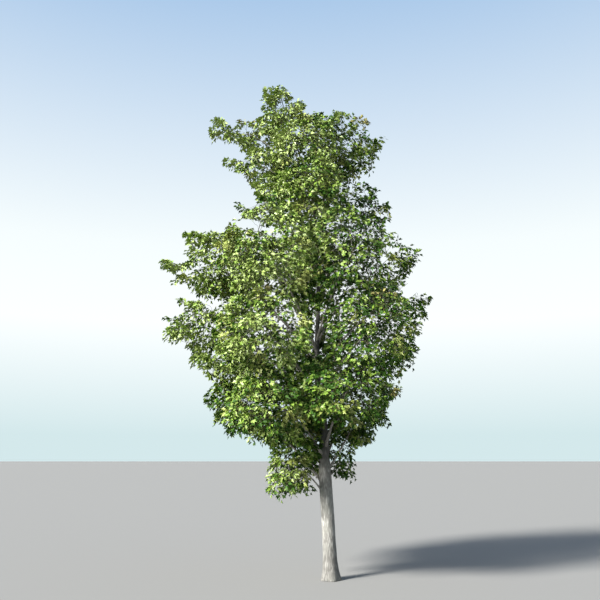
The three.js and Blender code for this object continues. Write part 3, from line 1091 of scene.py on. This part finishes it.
    def blades(self, leaves: dict[str, Array], draft: Draft, rng: Random) -> None:
        """Adds leaves to a mesh in the making, each a lobed blade and its stalk.

        Args:
            leaves: What leaves_on returns.
            draft: The mesh in the making.
            rng: The source of chance.
        """
        shape, faces = self.leaf.template()
        count, corners = len(leaves["tone"]), len(shape)
        across = np.cross(leaves["way"], leaves["face"])
        broad = rng.uniform(*self.breadth, (count, 1))
        curl = rng.uniform(*self.curl, (count, 1, 1))
        x = shape[:, 0][None, :, None] * (across * broad)[:, None]
        y = shape[:, 1][None, :, None] * leaves["way"][:, None]
        z = shape[:, 2][None, :, None] * leaves["face"][:, None] * curl
        points = leaves["base"][:, None] + (x + y + z) * leaves["size"][:, None]
        numbers = (faces[None] + (np.arange(count) * corners)[:, None, None]).reshape(-1, 3)
        draft.add(points.reshape(-1, 3), numbers, np.repeat(leaves["tone"], len(faces)))
        wide = across * self.leaf.stalk_width / 2
        stalks = np.stack([leaves["node"] - wide, leaves["node"] + wide, leaves["base"]], axis=1)
        draft.add(stalks.reshape(-1, 3), np.arange(count * 3).reshape(-1, 3), TONES.index(Tone.STALK))


@dataclass
class Mass:
    """One mass of foliage: its solid, and where sprays sit in it."""

    name: str
    rng: Random
    solid: Solid = field(init=False)
    targets: list[Array] = field(default_factory=list)  # where the sprays sit
    shaded: list[bool] = field(default_factory=list)  # whether each lies behind other foliage
    sprig_share: float = 1.02  # how much farther out a sprig's tip stands than the corners by it
    tip_depths: tuple[float, ...] = (0.12, 0.38, 0.64)  # how far a sprig's sprays sit behind its tip

    def __post_init__(self) -> None:
        """Reads the mass's solid."""
        self.solid = Solid(f"leaves_{self.name}")
        self.shell = self.solid.tree()

    def depth(self, point: Array) -> float:
        """How deep a point lies inside the solid.

        Args:
            point: The point.

        Returns:
            The distance to the nearest face, below 0 outside the solid.
        """
        near, normal, _, distance = self.shell.find_nearest(Vector(point))
        inside = (Vector(point) - near).dot(normal) < 0
        return distance if inside else -distance

    def tips(self) -> Array:
        """Where sprays sit in the sprigs that stand out from the solid.

        Returns:
            Their places, one a row.
        """
        away = self.solid.corners - self.solid.middle
        reach = lengths(away)
        highest = np.zeros(len(reach))
        for a, b in EDGES:
            one, other = self.solid.triangles[:, a], self.solid.triangles[:, b]
            np.maximum.at(highest, one, reach[other])
            np.maximum.at(highest, other, reach[one])
        chosen = reach > highest * self.sprig_share
        rows = [self.solid.corners[chosen] - unit(away[chosen]) * depth for depth in self.tip_depths]
        return np.concatenate(rows)

    def surface_points(self, count: int) -> tuple[Array, Array]:
        """Random points on the solid's faces.

        Args:
            count: How many.

        Returns:
            The points, and the outward normal at each.
        """
        a, b, c = (self.solid.corners[self.solid.triangles[:, k]] for k in range(3))
        normals = np.cross(b - a, c - a)
        areas = lengths(normals)
        chosen = self.rng.choice(len(areas), count, p=areas / areas.sum())
        u, v = self.rng.random((2, count, 1))
        flip = u + v > 1
        u, v = np.where(flip, 1 - u, u), np.where(flip, 1 - v, v)
        points = a[chosen] + u * (b - a)[chosen] + v * (c - a)[chosen]
        return points, normals[chosen] / areas[chosen, None]


@dataclass(frozen=True)
class FrontView:
    """What the crown shows from the front, where the photo was taken."""

    eye: Array = field(default_factory=lambda: np.array(EYE))
    # Where the sky shows in the crown's outline, from the bottom up
    notches: tuple[Place, ...] = places_at(
        # On the right
        (0.80, 2.46, 0.28, 0.50), (1.68, 3.64, 0.37, 0.42), (1.78, 4.08, 0.14, 0.18),
        (2.20, 4.84, 0.20, 0.28), (2.22, 5.36, 0.20, 0.15), (1.92, 6.56, 0.17, 0.18),
        (2.22, 6.86, 0.30, 0.36), (1.36, 7.38, 0.13, 0.12), (1.55, 7.62, 0.22, 0.10),
        (1.90, 7.88, 0.16, 0.20), (1.54, 8.22, 0.17, 0.16), (1.66, 8.50, 0.08, 0.16),
        (1.70, 8.56, 0.16, 0.30), (1.36, 9.02, 0.13, 0.24), (1.38, 9.04, 0.16, 0.18),
        (1.30, 9.68, 0.14, 0.16), (1.52, 10.36, 0.15, 0.22), (1.20, 10.66, 0.14, 0.10),
        (1.22, 10.85, 0.20, 0.18), (0.75, 11.42, 0.46, 0.12),
        # On the left
        (-2.80, 3.50, 0.16, 0.18), (-3.08, 4.10, 0.14, 0.28), (-3.20, 4.58, 0.24, 0.14),
        (-3.46, 4.86, 0.20, 0.18), (-3.38, 4.93, 0.14, 0.26), (-3.64, 5.12, 0.36, 0.16),
        (-3.94, 5.74, 0.18, 0.13), (-3.72, 6.10, 0.26, 0.22), (-2.78, 6.18, 0.16, 0.08),
        (-3.58, 6.59, 0.26, 0.20), (-3.92, 6.94, 0.22, 0.16), (-3.50, 7.38, 0.14, 0.12),
        (-3.96, 7.44, 0.22, 0.10), (-3.70, 7.58, 0.26, 0.16), (-3.66, 7.84, 0.20, 0.14),
        (-1.62, 8.17, 0.28, 0.09), (-1.95, 8.28, 0.36, 0.14), (-1.84, 8.88, 0.10, 0.24),
        (-2.04, 9.10, 0.24, 0.30), (-2.24, 9.50, 0.26, 0.16), (-2.14, 10.13, 0.18, 0.10),
        (-2.50, 10.34, 0.36, 0.16), (-3.06, 10.66, 0.12, 0.18), (-2.42, 11.08, 0.18, 0.12),
        (-2.05, 11.20, 0.36, 0.11), (-0.45, 11.36, 0.10, 0.10), (-1.76, 11.50, 0.15, 0.36),
        (-0.84, 11.70, 0.13, 0.13),
    )
    # Where a share of the leaves is left out, from the bottom up
    thin_places: tuple[Place, ...] = places_at(
        # On the right
        (0.30, 2.72, 0.25, 0.42, 0.40), (1.44, 3.76, 0.28, 0.26, 0.45), (0.46, 4.18, 0.26, 0.26, 0.45),
        (1.92, 4.90, 0.28, 0.50, 0.50), (0.52, 5.62, 0.28, 0.28, 0.62), (1.48, 5.66, 0.28, 0.28, 0.52),
        (0.05, 6.12, 0.26, 0.26, 0.60), (0.50, 6.36, 0.28, 0.48, 0.70), (1.95, 6.62, 0.26, 0.26, 0.50),
        (1.26, 7.10, 0.50, 0.34, 0.74), (1.46, 7.98, 0.26, 0.28, 0.50), (0.96, 8.10, 0.34, 0.24, 0.55),
        (0.34, 8.12, 0.50, 0.25, 0.76), (0.42, 8.46, 0.18, 0.16, 0.80), (0.42, 9.05, 0.20, 0.30, 0.75),
        (0.98, 9.90, 0.26, 0.26, 0.45), (0.94, 10.66, 0.22, 0.32, 0.70), (0.42, 10.98, 0.18, 0.16, 0.70),
        # On the left
        (-2.85, 3.71, 0.30, 0.24, 0.40), (-1.90, 3.92, 0.16, 0.14, 0.70), (-0.98, 5.90, 0.33, 0.54, 0.74),
        (-1.41, 6.64, 0.20, 0.26, 0.60), (-1.14, 8.14, 0.40, 0.24, 0.72), (-1.54, 8.56, 0.20, 0.16, 0.70),
        (-1.62, 10.48, 0.15, 0.15, 0.80), (-1.42, 11.40, 0.20, 0.20, 0.25),
        # The whole right side, and the top
        (1.25, 6.60, 1.40, 3.60, 0.36), (0.10, 10.40, 1.20, 0.80, 0.10),
    )
    # Where the outline is fuller than the masses' sprays would make it
    fillings: tuple[Place, ...] = places_at(
        (-0.34, 3.16, 0.14, 0.20), (-1.36, 11.56, 0.26, 0.14), (-1.26, 11.82, 0.18, 0.09),
        (-0.28, 11.02, 0.14, 0.08), (0.04, 11.02, 0.16, 0.07), (-0.72, 11.12, 0.12, 0.12),
        (-2.24, 10.68, 0.20, 0.10), (0.78, 10.30, 0.16, 0.14), (-0.95, 10.42, 0.24, 0.24),
        (-1.90, 10.12, 0.12, 0.10), (-1.36, 7.93, 0.18, 0.10), (1.16, 7.80, 0.22, 0.10),
        (1.76, 7.26, 0.18, 0.24), (-3.84, 7.18, 0.12, 0.05), (-2.75, 6.86, 0.34, 0.20),
        (-2.90, 7.50, 0.50, 0.36), (-3.10, 4.94, 0.16, 0.12), (-2.30, 4.20, 0.24, 0.12),
        (-0.48, 3.46, 0.18, 0.22), (-0.82, 2.78, 0.32, 0.24), (-0.46, 2.62, 0.20, 0.26),
        (-0.78, 2.34, 0.38, 0.34), (0.22, 2.72, 0.16, 0.36), (0.62, 3.22, 0.22, 0.12),
    )
    # Where a share of the sprays has reddish young leaves
    new_growth: tuple[Place, ...] = places_at(
        (0.82, 11.04, 0.26, 0.20, 0.85), (-2.10, 10.80, 0.24, 0.16, 0.15), (1.20, 6.40, 0.34, 0.26, 0.40),
        (1.50, 4.00, 0.25, 0.22, 0.35), (-1.80, 6.86, 0.25, 0.18, 0.30),
    )
    # Where no leaves hang in front of the trunk and the lowest limbs
    clearings: tuple[Place, ...] = places_at(
        (-0.02, 2.05, 0.17, 0.50), (-0.02, 2.60, 0.14, 0.50), (-0.02, 3.15, 0.12, 0.42),
        (-0.26, 2.38, 0.16, 0.22), (0.34, 2.92, 0.16, 0.22), (-0.26, 5.50, 0.09, 0.66),
    )

    def in_view(self, points: Array) -> Array:
        """Where points show on the trunk's own plane, seen from the front, as rows of x and z."""
        share = self.eye[1] / (self.eye[1] - points[:, 1:2])
        return (self.eye + (points - self.eye) * share)[:, [0, 2]]

    def within(self, points: Array, places: Sequence[Place]) -> Array:
        """How near each point shows to the middle of one of some places.

        Args:
            points: The points.
            places: The places.

        Returns:
            For each point, 0 at the middle of the nearest place and 1 at its edge.
        """
        seen = self.in_view(points)
        spread = [
            np.hypot((seen[:, 0] - place.x) / place.half_width, (seen[:, 1] - place.z) / place.half_height)
            for place in places
        ]
        return np.min(spread, axis=0)

    def share_at(self, points: Array, places: Sequence[Place]) -> Array:
        """The largest share that any of some places gives each point: 0 outside them all."""
        return np.max([place.share * (self.within(points, [place]) < 1) for place in places], axis=0)

    def to_notch(self, points: Array) -> Array:
        """How near each point shows to a notch's middle: 0 at it, 1 at the notch's edge."""
        return self.within(points, self.notches)

    def notched(self, spot: Array) -> bool:
        """Whether a place shows inside a notch of the outline."""
        return bool(self.to_notch(spot[None])[0] < 1)


@dataclass
class Toning:
    """How tones are dealt out: they change smoothly, so that sprays side by side are mostly alike."""

    drift: SmoothNoise = SmoothNoise(5)
    grain: float = 0.60  # metres over which the leaves' tone changes
    middle: float = 0.56  # where sprays at mid height draw from their mass's tones, from 0 to 1
    spread: float = 0.38  # how far that changes from place to place
    blur: float = 0.20  # how far one spray's draw strays from its place's
    olive_share: float = 0.10  # of sprays that are olive anywhere
    low_painted_shade: float = 0.44  # painted shade: how much deeper the sprays' tones are at the skirt, under the crown, than at mid height
    low_heights: Pair = (6.0, 3.5)  # where that begins, and where it is in full
    high_painted_light: float = 0.42  # painted light: how much lighter they are at the top than at mid height
    high_heights: Pair = (8.5, 11.0)  # where that begins, and where it is in full
    right_painted_shade: float = 0.32  # painted shade: how much deeper they are on the right, away from the sun, than in the middle
    right_width: float = 1.5  # over which that grows
    left_painted_light: float = 0.4  # of it by which they are lighter on the left, towards the sun: painted light

    def deal(self, front: FrontView, mass: Mass, ends: Array, shaded: Array) -> Array:
        """Deals a tone to each spray.

        Args:
            front: What the crown shows from the front.
            mass: The mass that the sprays are in.
            ends: Where they sit.
            shaded: Which of them lie behind other foliage.

        Returns:
            The number of each spray's tone.
        """
        open_shares = np.array(TONE_SHARES[slot_of(mass.solid.node)])
        drift = self.middle + self.spread * self.drift.at(ends / self.grain)
        # Painted light and shade: deeper low down and on the right, lighter at the top and on the left
        drift += self.low_painted_shade * part_way(ends[:, 2], *self.low_heights)
        drift -= self.high_painted_light * part_way(ends[:, 2], *self.high_heights)
        right = (ends[:, 0] - front.eye[0]) / self.right_width
        drift += self.right_painted_shade * np.clip(right, -self.left_painted_light, 1)
        draw = np.clip(drift + mass.rng.normal(0, self.blur, len(ends)), 0, 0.999)
        # Sprays behind other foliage get deeper tones: painted shade
        open_tones, painted_shade_tones = (
            np.searchsorted(np.cumsum(shares / shares.sum()), draw, side="right")
            for shares in (open_shares, open_shares * np.array(SHADE_SHIFT))
        )
        tones = np.where(shaded, painted_shade_tones, open_tones)
        olive = mass.rng.random(len(ends)) < self.olive_share
        tones = np.where(olive, TONES.index(Tone.OLIVE), tones)
        young = mass.rng.random(len(ends)) < front.share_at(ends, front.new_growth)
        return np.where(young, TONES.index(Tone.BRONZE), tones)


@dataclass
class Crown:
    """All the foliage: where sprays sit in the masses, and which of their leaves are left out."""

    trunk: Trunk
    sprays: Sprays = field(default_factory=Sprays)
    front: FrontView = field(default_factory=FrontView)
    toning: Toning = field(default_factory=Toning)
    seed: int = 20
    outer_gap: float = 0.275  # between sprays on the outside of the crown
    inner_gap: float = 0.42  # between those behind other foliage
    sprig_crowding: float = 0.6  # gap between sprays in the masses' sprigs over outer_gap
    sink: Pair = (0.08, 0.30)  # how deep under a mass's surface a spray sits
    inner_sink: float = 1.8  # how many times deeper it sits behind other foliage
    least_depth: float = 0.05  # of a spray under the nearest surface
    tries: int = 1500  # random places tried on each mass
    shade_reach: float = 1.6  # how far off other foliage still shades a spray
    skyward: float = 0.35  # how much the light comes from above, beside from outside
    grazing: float = 0.05  # how little light counts as none
    face_gap: float = 0.03  # how far off its own face the search for other foliage starts
    spare: float = 0.12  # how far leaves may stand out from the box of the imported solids
    filling_seed: int = 1001
    filling_tries: int = 12  # random places tried in each filling
    filling_gap: float = 0.5  # gap between sprays there over outer_gap
    filling_depth: float = 0.12  # how far they stray to the front or the back
    veil_seed: int = 1002
    veil_tries: int = 900  # random places tried round the trunk and leader
    veil_gap: float = 0.8  # gap between sprays there over inner_gap
    veil_reach: float = 0.95  # how far from its middle they are
    veil_core: float = 0.08  # share of that circle, next to the trunk, that has none
    veil_heights: Pair = (2.3, 9.6)  # lowest and highest of them
    # Where the trunk shows in front, as lowest height, highest height and half width
    bare_heights: tuple[tuple[float, float, float], ...] = ((0.0, 3.5, 0.26), (5.1, 6.1, 0.32))
    leader_nodes: int = 9  # nodes of the leader that a mass without a bough branches from
    leader_reach: Pair = (0.25, 0.20)  # how far under and over its lower half they go
    notch_rim: Pair = (0.8, 1.1)  # where leaves end at a notch, 1 being at its edge
    shoot_rim: float = 0.95  # where shoots end at it
    branch_rim: float = 0.9  # where branches end at it
    branch_sides: int = 4
    shoot_sides: int = 3
    shoot_taper: float = 0.5  # radius at a shoot's tip over that at its foot

    def __post_init__(self) -> None:
        """Reads every mass, and the crown's faces as a whole."""
        names = sorted(n for n in frame["nodes"] if n.startswith("leaves_"))
        self.masses = [
            Mass(name.removeprefix("leaves_"), np.random.default_rng([self.seed, number]))
            for number, name in enumerate(names)
        ]
        corners, triangles, count = [], [], 0
        for mass in self.masses:
            corners += mass.solid.corners.tolist()
            triangles += (mass.solid.triangles + count).tolist()
            count += len(mass.solid.corners)
        self.shell = BVHTree.FromPolygons(corners, triangles)

    def is_shaded(self, point: Array, normal: Array) -> bool:
        """Whether other foliage keeps the light from a point of a mass's surface.

        Args:
            point: The point.
            normal: The surface's normal there.

        Returns:
            True where it does, and where the light only grazes the surface.
        """
        outward = point - self.trunk.middle(min(point[2], self.trunk.top))
        aim = unit(unit(outward * LEVEL) + normal + self.skyward * UP)
        if aim @ normal < self.grazing:
            return True
        start = Vector(point + normal * self.face_gap)
        return self.shell.ray_cast(start, Vector(aim), self.shade_reach)[0] is not None

    def place_sprays(self) -> None:
        """Scatters sprays under the masses' surfaces, none too near another."""
        self.placed = np.empty((0, 3))
        self.gaps = np.empty(0)
        sprig_gap = self.outer_gap * self.sprig_crowding
        for mass in self.masses:
            for spot in mass.tips():
                if self.is_free(spot, sprig_gap) and not self.front.notched(spot):
                    self.keep(mass, spot, sprig_gap, False)
        self.fill()
        self.veil()
        for mass in self.masses:
            points, normals = mass.surface_points(self.tries)
            for point, normal in zip(points, normals):
                shaded = self.is_shaded(point, normal)
                heartward = unit(mass.solid.middle - point)
                sink = mass.rng.uniform(*self.sink) * (self.inner_sink if shaded else 1)
                spot = point + unit(heartward - normal) * sink
                gap = self.inner_gap if shaded else self.outer_gap
                deep = mass.depth(spot) > self.least_depth
                if deep and self.is_free(spot, gap) and not self.front.notched(spot):
                    self.keep(mass, spot, gap, shaded)
        LOG.info("%d sprays in %d masses", len(self.placed), len(self.masses))

    def is_free(self, spot: Array, gap: float) -> bool:
        """Whether no other spray is too near a place."""
        away = lengths(self.placed - spot)
        return not np.any(away < (np.minimum(self.gaps, gap) + gap) / 2)

    def keep(self, mass: Mass, spot: Array, gap: float, shaded: bool) -> None:
        """Gives a mass a spray.

        Args:
            mass: The mass.
            spot: Where the spray sits.
            gap: How far off other sprays stay.
            shaded: Whether it lies behind other foliage.
        """
        self.placed = np.vstack([self.placed, spot])
        self.gaps = np.append(self.gaps, gap)
        mass.targets.append(spot)
        mass.shaded.append(shaded)

    def fill(self) -> None:
        """Sets sprays where the photo shows foliage at the rim of the crown."""
        rng = np.random.default_rng([self.seed, self.filling_seed])
        gap = self.outer_gap * self.filling_gap
        for place in self.front.fillings:
            for _ in range(self.filling_tries):
                across, up = rng.uniform(-1, 1, 2)
                x = place.x + across * place.half_width
                y = rng.normal(0, self.filling_depth)
                spot = np.array([x, y, place.z + up * place.half_height])
                if self.is_free(spot, gap):
                    self.keep(self.mass_round(spot), spot, gap, False)

    def mass_round(self, spot: Array) -> Mass:
        """The mass that a place lies deepest inside, or nearest to."""
        return max(self.masses, key=lambda mass: mass.depth(spot))

    def veil(self) -> None:
        """Sets sprays on short branches round the leader, so that it shows only where it does in life."""
        rng = np.random.default_rng([self.seed, self.veil_seed])
        gap = self.inner_gap * self.veil_gap
        for _ in range(self.veil_tries):
            height = rng.uniform(*self.veil_heights)
            turn = rng.uniform(0, 2 * math.pi)
            reach = self.veil_reach * math.sqrt(rng.uniform(self.veil_core, 1))
            spot = self.trunk.middle(height) + reach * np.array([math.cos(turn), math.sin(turn), 0])
            seen = self.front.in_view(spot[None])[0]
            across = abs(seen[0] - self.trunk.middle(min(seen[1], self.trunk.top))[0])
            bare = spot[1] < 0 and any(
                low < seen[1] < high and across < half for low, high, half in self.bare_heights
            )
            if not bare and self.is_free(spot, gap):
                self.keep(self.mass_round(spot), spot, gap, True)

    def start_nodes(self, mass: Mass, limbs: dict[str, Limb]) -> tuple[Array, Array]:
        """The nodes that a mass's first branches leave from, on its bough or on the leader.

        Args:
            mass: The mass.
            limbs: The boughs, by the name of the mass that each feeds.

        Returns:
            The nodes, and the wood's radius at each.
        """
        if mass.name in limbs:
            limb = limbs[mass.name]
            return limb.inner, limb.inner_radii
        low = mass.solid.corners[:, 2].min() - self.leader_reach[0]
        high = min(mass.solid.middle[2] + self.leader_reach[1], self.trunk.top)
        heights = np.linspace(low, high, self.leader_nodes)
        places = np.array([self.trunk.middle(z) for z in heights])
        return places, np.array([self.trunk.radius(z) for z in heights])

    def build(self, limbs: dict[str, Limb], twig_bark: Material) -> None:
        """Grows and makes every mass's twigs and leaves.

        Args:
            limbs: The boughs, by the name of the mass that each feeds.
            twig_bark: The twigs' material.
        """
        self.place_sprays()
        tones = [tone.value.material() for tone in TONES]
        total = 0
        for mass in self.masses:
            places, caps = self.start_nodes(mass, limbs)
            wood = Branching(places, caps, mass.rng)
            wood.grow(np.array(mass.targets))
            total += self.dress(mass, wood, tones, twig_bark)
        LOG.info("%d leaves", total)

    def dress(self, mass: Mass, wood: Branching, tones: Sequence[Material], twig_bark: Material) -> int:
        """Makes one mass's twigs and leaves.

        Args:
            mass: The mass.
            wood: Its branches.
            tones: The leaves' materials.
            twig_bark: The twigs' material.

        Returns:
            The number of leaves.
        """
        last = wood.lasts
        ends, roots = wood.nodes[last], wood.nodes[last - 1]
        near = lengths(ends[:, None] - np.array(mass.targets)[None]).argmin(1)
        shaded = np.array(mass.shaded)[near]
        tone = self.toning.deal(self.front, mass, ends, shaded)
        paths, owners = self.sprays.shoots_from(mass, ends, wood.ways[last], roots)
        leaves = self.sprays.leaves_on(paths, owners, tone, mass.rng)
        chance = mass.rng.random(len(leaves["tone"]))
        front, base = self.front, leaves["base"]
        bare = np.min([front.to_notch(paths[:, k]) for k in (1, 2)], axis=0) < self.shoot_rim
        kept = ~bare[leaves["shoot"]] & (chance > front.share_at(base, front.thin_places))
        inner, outer = self.notch_rim
        kept &= front.to_notch(base) > inner + (outer - inner) * chance
        reach = base + leaves["way"] * leaves["size"]
        kept &= (base[:, 1] > 0) | (front.within(reach, front.clearings) > 1)
        low, high = np.array(cad_box)
        kept &= np.all((reach > low - self.spare) & (reach < high + self.spare), axis=1)
        leaves = {key: value[kept] for key, value in leaves.items()}
        self.make_twigs(mass, wood, paths[~bare], twig_bark)
        draft = Draft()
        self.sprays.blades(leaves, draft, mass.rng)
        piece = draft.make(f"foliage_{mass.name}", tones)
        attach(piece, BODY)
        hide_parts(mass.solid.node)
        slot_of(mass.solid.node)
        return len(leaves["tone"])

    def make_twigs(self, mass: Mass, wood: Branching, shoots: Array, twig_bark: Material) -> None:
        """Makes one mass's branches and shoots, joined into one piece.

        Args:
            mass: The mass.
            wood: Its branches.
            shoots: The paths of its shoots.
            twig_bark: The twigs' material.
        """
        draft = Draft()
        leafy = self.front.to_notch(wood.nodes[wood.lasts]) > self.branch_rim
        draft.add(*skin(ring_grid(*wood.tubes(leafy), self.branch_sides)))
        taper = np.linspace(1.0, self.shoot_taper, shoots.shape[1])
        radii = np.broadcast_to(self.sprays.shoot_radius * taper, shoots.shape[:2])
        draft.add(*skin(ring_grid(shoots, radii, self.shoot_sides)))
        piece = draft.make(f"twigs_{mass.name}", [twig_bark])
        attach(piece, BODY)


@dataclass
class Studio:
    """The camera, the light and the pale floor."""

    lens: float = 40.44  # millimetres
    sensor: float = 36.0  # its width, in millimetres
    upward: float = 13.1  # degrees by which the camera looks up
    floor_size: float = 400.0
    floor_gap: float = 0.002  # under the tree's foot, so that the two never share a plane
    lamp_colour: Colour = (1.0, 0.97, 0.92)
    # The sky's colours, each with the sine of the height above the horizon that it has
    sky: tuple[tuple[float, Colour], ...] = (
        (0.03, (0.60, 0.74, 0.76)),
        (0.19, (0.90, 0.94, 0.95)),
        (0.30, (0.84, 0.90, 0.91)),
        (0.60, (0.38, 0.54, 0.75)),
        (0.80, (0.20, 0.34, 0.58)),
        (1.00, (0.10, 0.20, 0.42)),
    )
    sky_strength: float = 1.10
    sun_strength: float = 13.3
    sun_softness: float = 13.0  # how broad it looks, in degrees
    towards_sun: tuple[float, float, float] = (-0.67, -0.53, 0.57)
    side_strength: float = 6.6
    side_softness: float = 20.0
    towards_side: tuple[float, float, float] = (-0.94, -0.34, 0.05)

    def build(self) -> None:
        """Makes the camera, the floor, the sky and the lamps."""
        scene = bpy.context.scene
        camera = bpy.data.objects.new("camera", bpy.data.cameras.new("camera"))
        camera.data.lens = self.lens
        camera.data.sensor_width = self.sensor
        camera.data.clip_end = self.floor_size * 4
        camera.location = EYE
        camera.rotation_euler = (math.radians(90 + self.upward), 0.0, 0.0)
        scene.collection.objects.link(camera)
        scene.camera = camera
        scene.view_settings.view_transform = "Standard"
        self.build_floor()
        self.build_sky()
        self.build_lamp("sun", self.sun_strength, self.sun_softness, self.towards_sun)
        self.build_lamp("side_light", self.side_strength, self.side_softness, self.towards_side)

    def build_lamp(self, name: str, strength: float, softness: float, towards: Sequence[float]) -> None:
        """Makes a far lamp.

        Args:
            name: Its name.
            strength: Its strength.
            softness: How broad it looks, in degrees.
            towards: The direction that it stands in.
        """
        lamp = bpy.data.lights.new(name, "SUN")
        lamp.energy = strength
        lamp.angle = math.radians(softness)
        lamp.color = self.lamp_colour
        holder = bpy.data.objects.new(name, lamp)
        holder.rotation_euler = Vector(towards).to_track_quat("Z", "Y").to_euler()
        bpy.context.scene.collection.objects.link(holder)

    def build_floor(self) -> None:
        """Makes the pale floor."""
        half = self.floor_size
        corners = np.array([[-half, -half, 0], [half, -half, 0], [half, half, 0], [-half, half, 0]])
        draft = Draft()
        draft.add(corners, np.array([[0, 1, 2], [0, 2, 3]]))
        floor = draft.make("floor", [FLOOR.material()])
        floor.location.z = -self.floor_gap

    def build_sky(self) -> None:
        """Makes a sky that is pale at the horizon and a deeper blue overhead."""
        shader = Shader(bpy.data.worlds.new("sky"))
        place = shader.node("ShaderNodeTexCoord", {}, {})
        height = shader.node("ShaderNodeSeparateXYZ", {}, {0: place}, result=2)
        colour = shader.node("ShaderNodeValToRGB", {"stops": self.sky}, {0: height})
        bpy.context.scene.world = shader.finish(Color=colour, Strength=self.sky_strength)


def main() -> None:
    """Builds the studio and the tree."""
    logging.basicConfig(level=logging.INFO, format="%(message)s")
    Studio().build()
    trunk = Trunk()
    relief = BarkRelief()
    old_bark = Bark(
        name="trunk_bark",
        plate=(0.325, 0.322, 0.302),
        furrow=(0.095, 0.092, 0.083),
        patch=(0.205, 0.214, 0.186),
        grain=26.0,
        stretch=6.0,
        depth=0.004,
        # painted shade on the trunk up under the crown
        painted_shade=0.80,
        foot_darkening=0.55,
    ).material()
    young_bark = Bark(
        name="bough_bark",
        plate=(0.330, 0.318, 0.292),
        furrow=(0.150, 0.138, 0.120),
        patch=(0.230, 0.228, 0.192),
        grain=34.0,
        stretch=3.0,
        depth=0.002,
    ).material()
    crown = Crown(trunk)
    hearts = {mass.name: mass.solid.middle for mass in crown.masses}
    names = sorted(n.removeprefix("bough_") for n in frame["nodes"] if n.startswith("bough_"))
    limbs = {name: Limb(name, trunk, hearts[name]) for name in names}
    trunk.build(relief, list(limbs.values()), old_bark)
    for limb in limbs.values():
        limb.build(relief, young_bark)
    crown.build(limbs, YOUNG_WOOD.material())


if __name__ == "__main__":
    main()
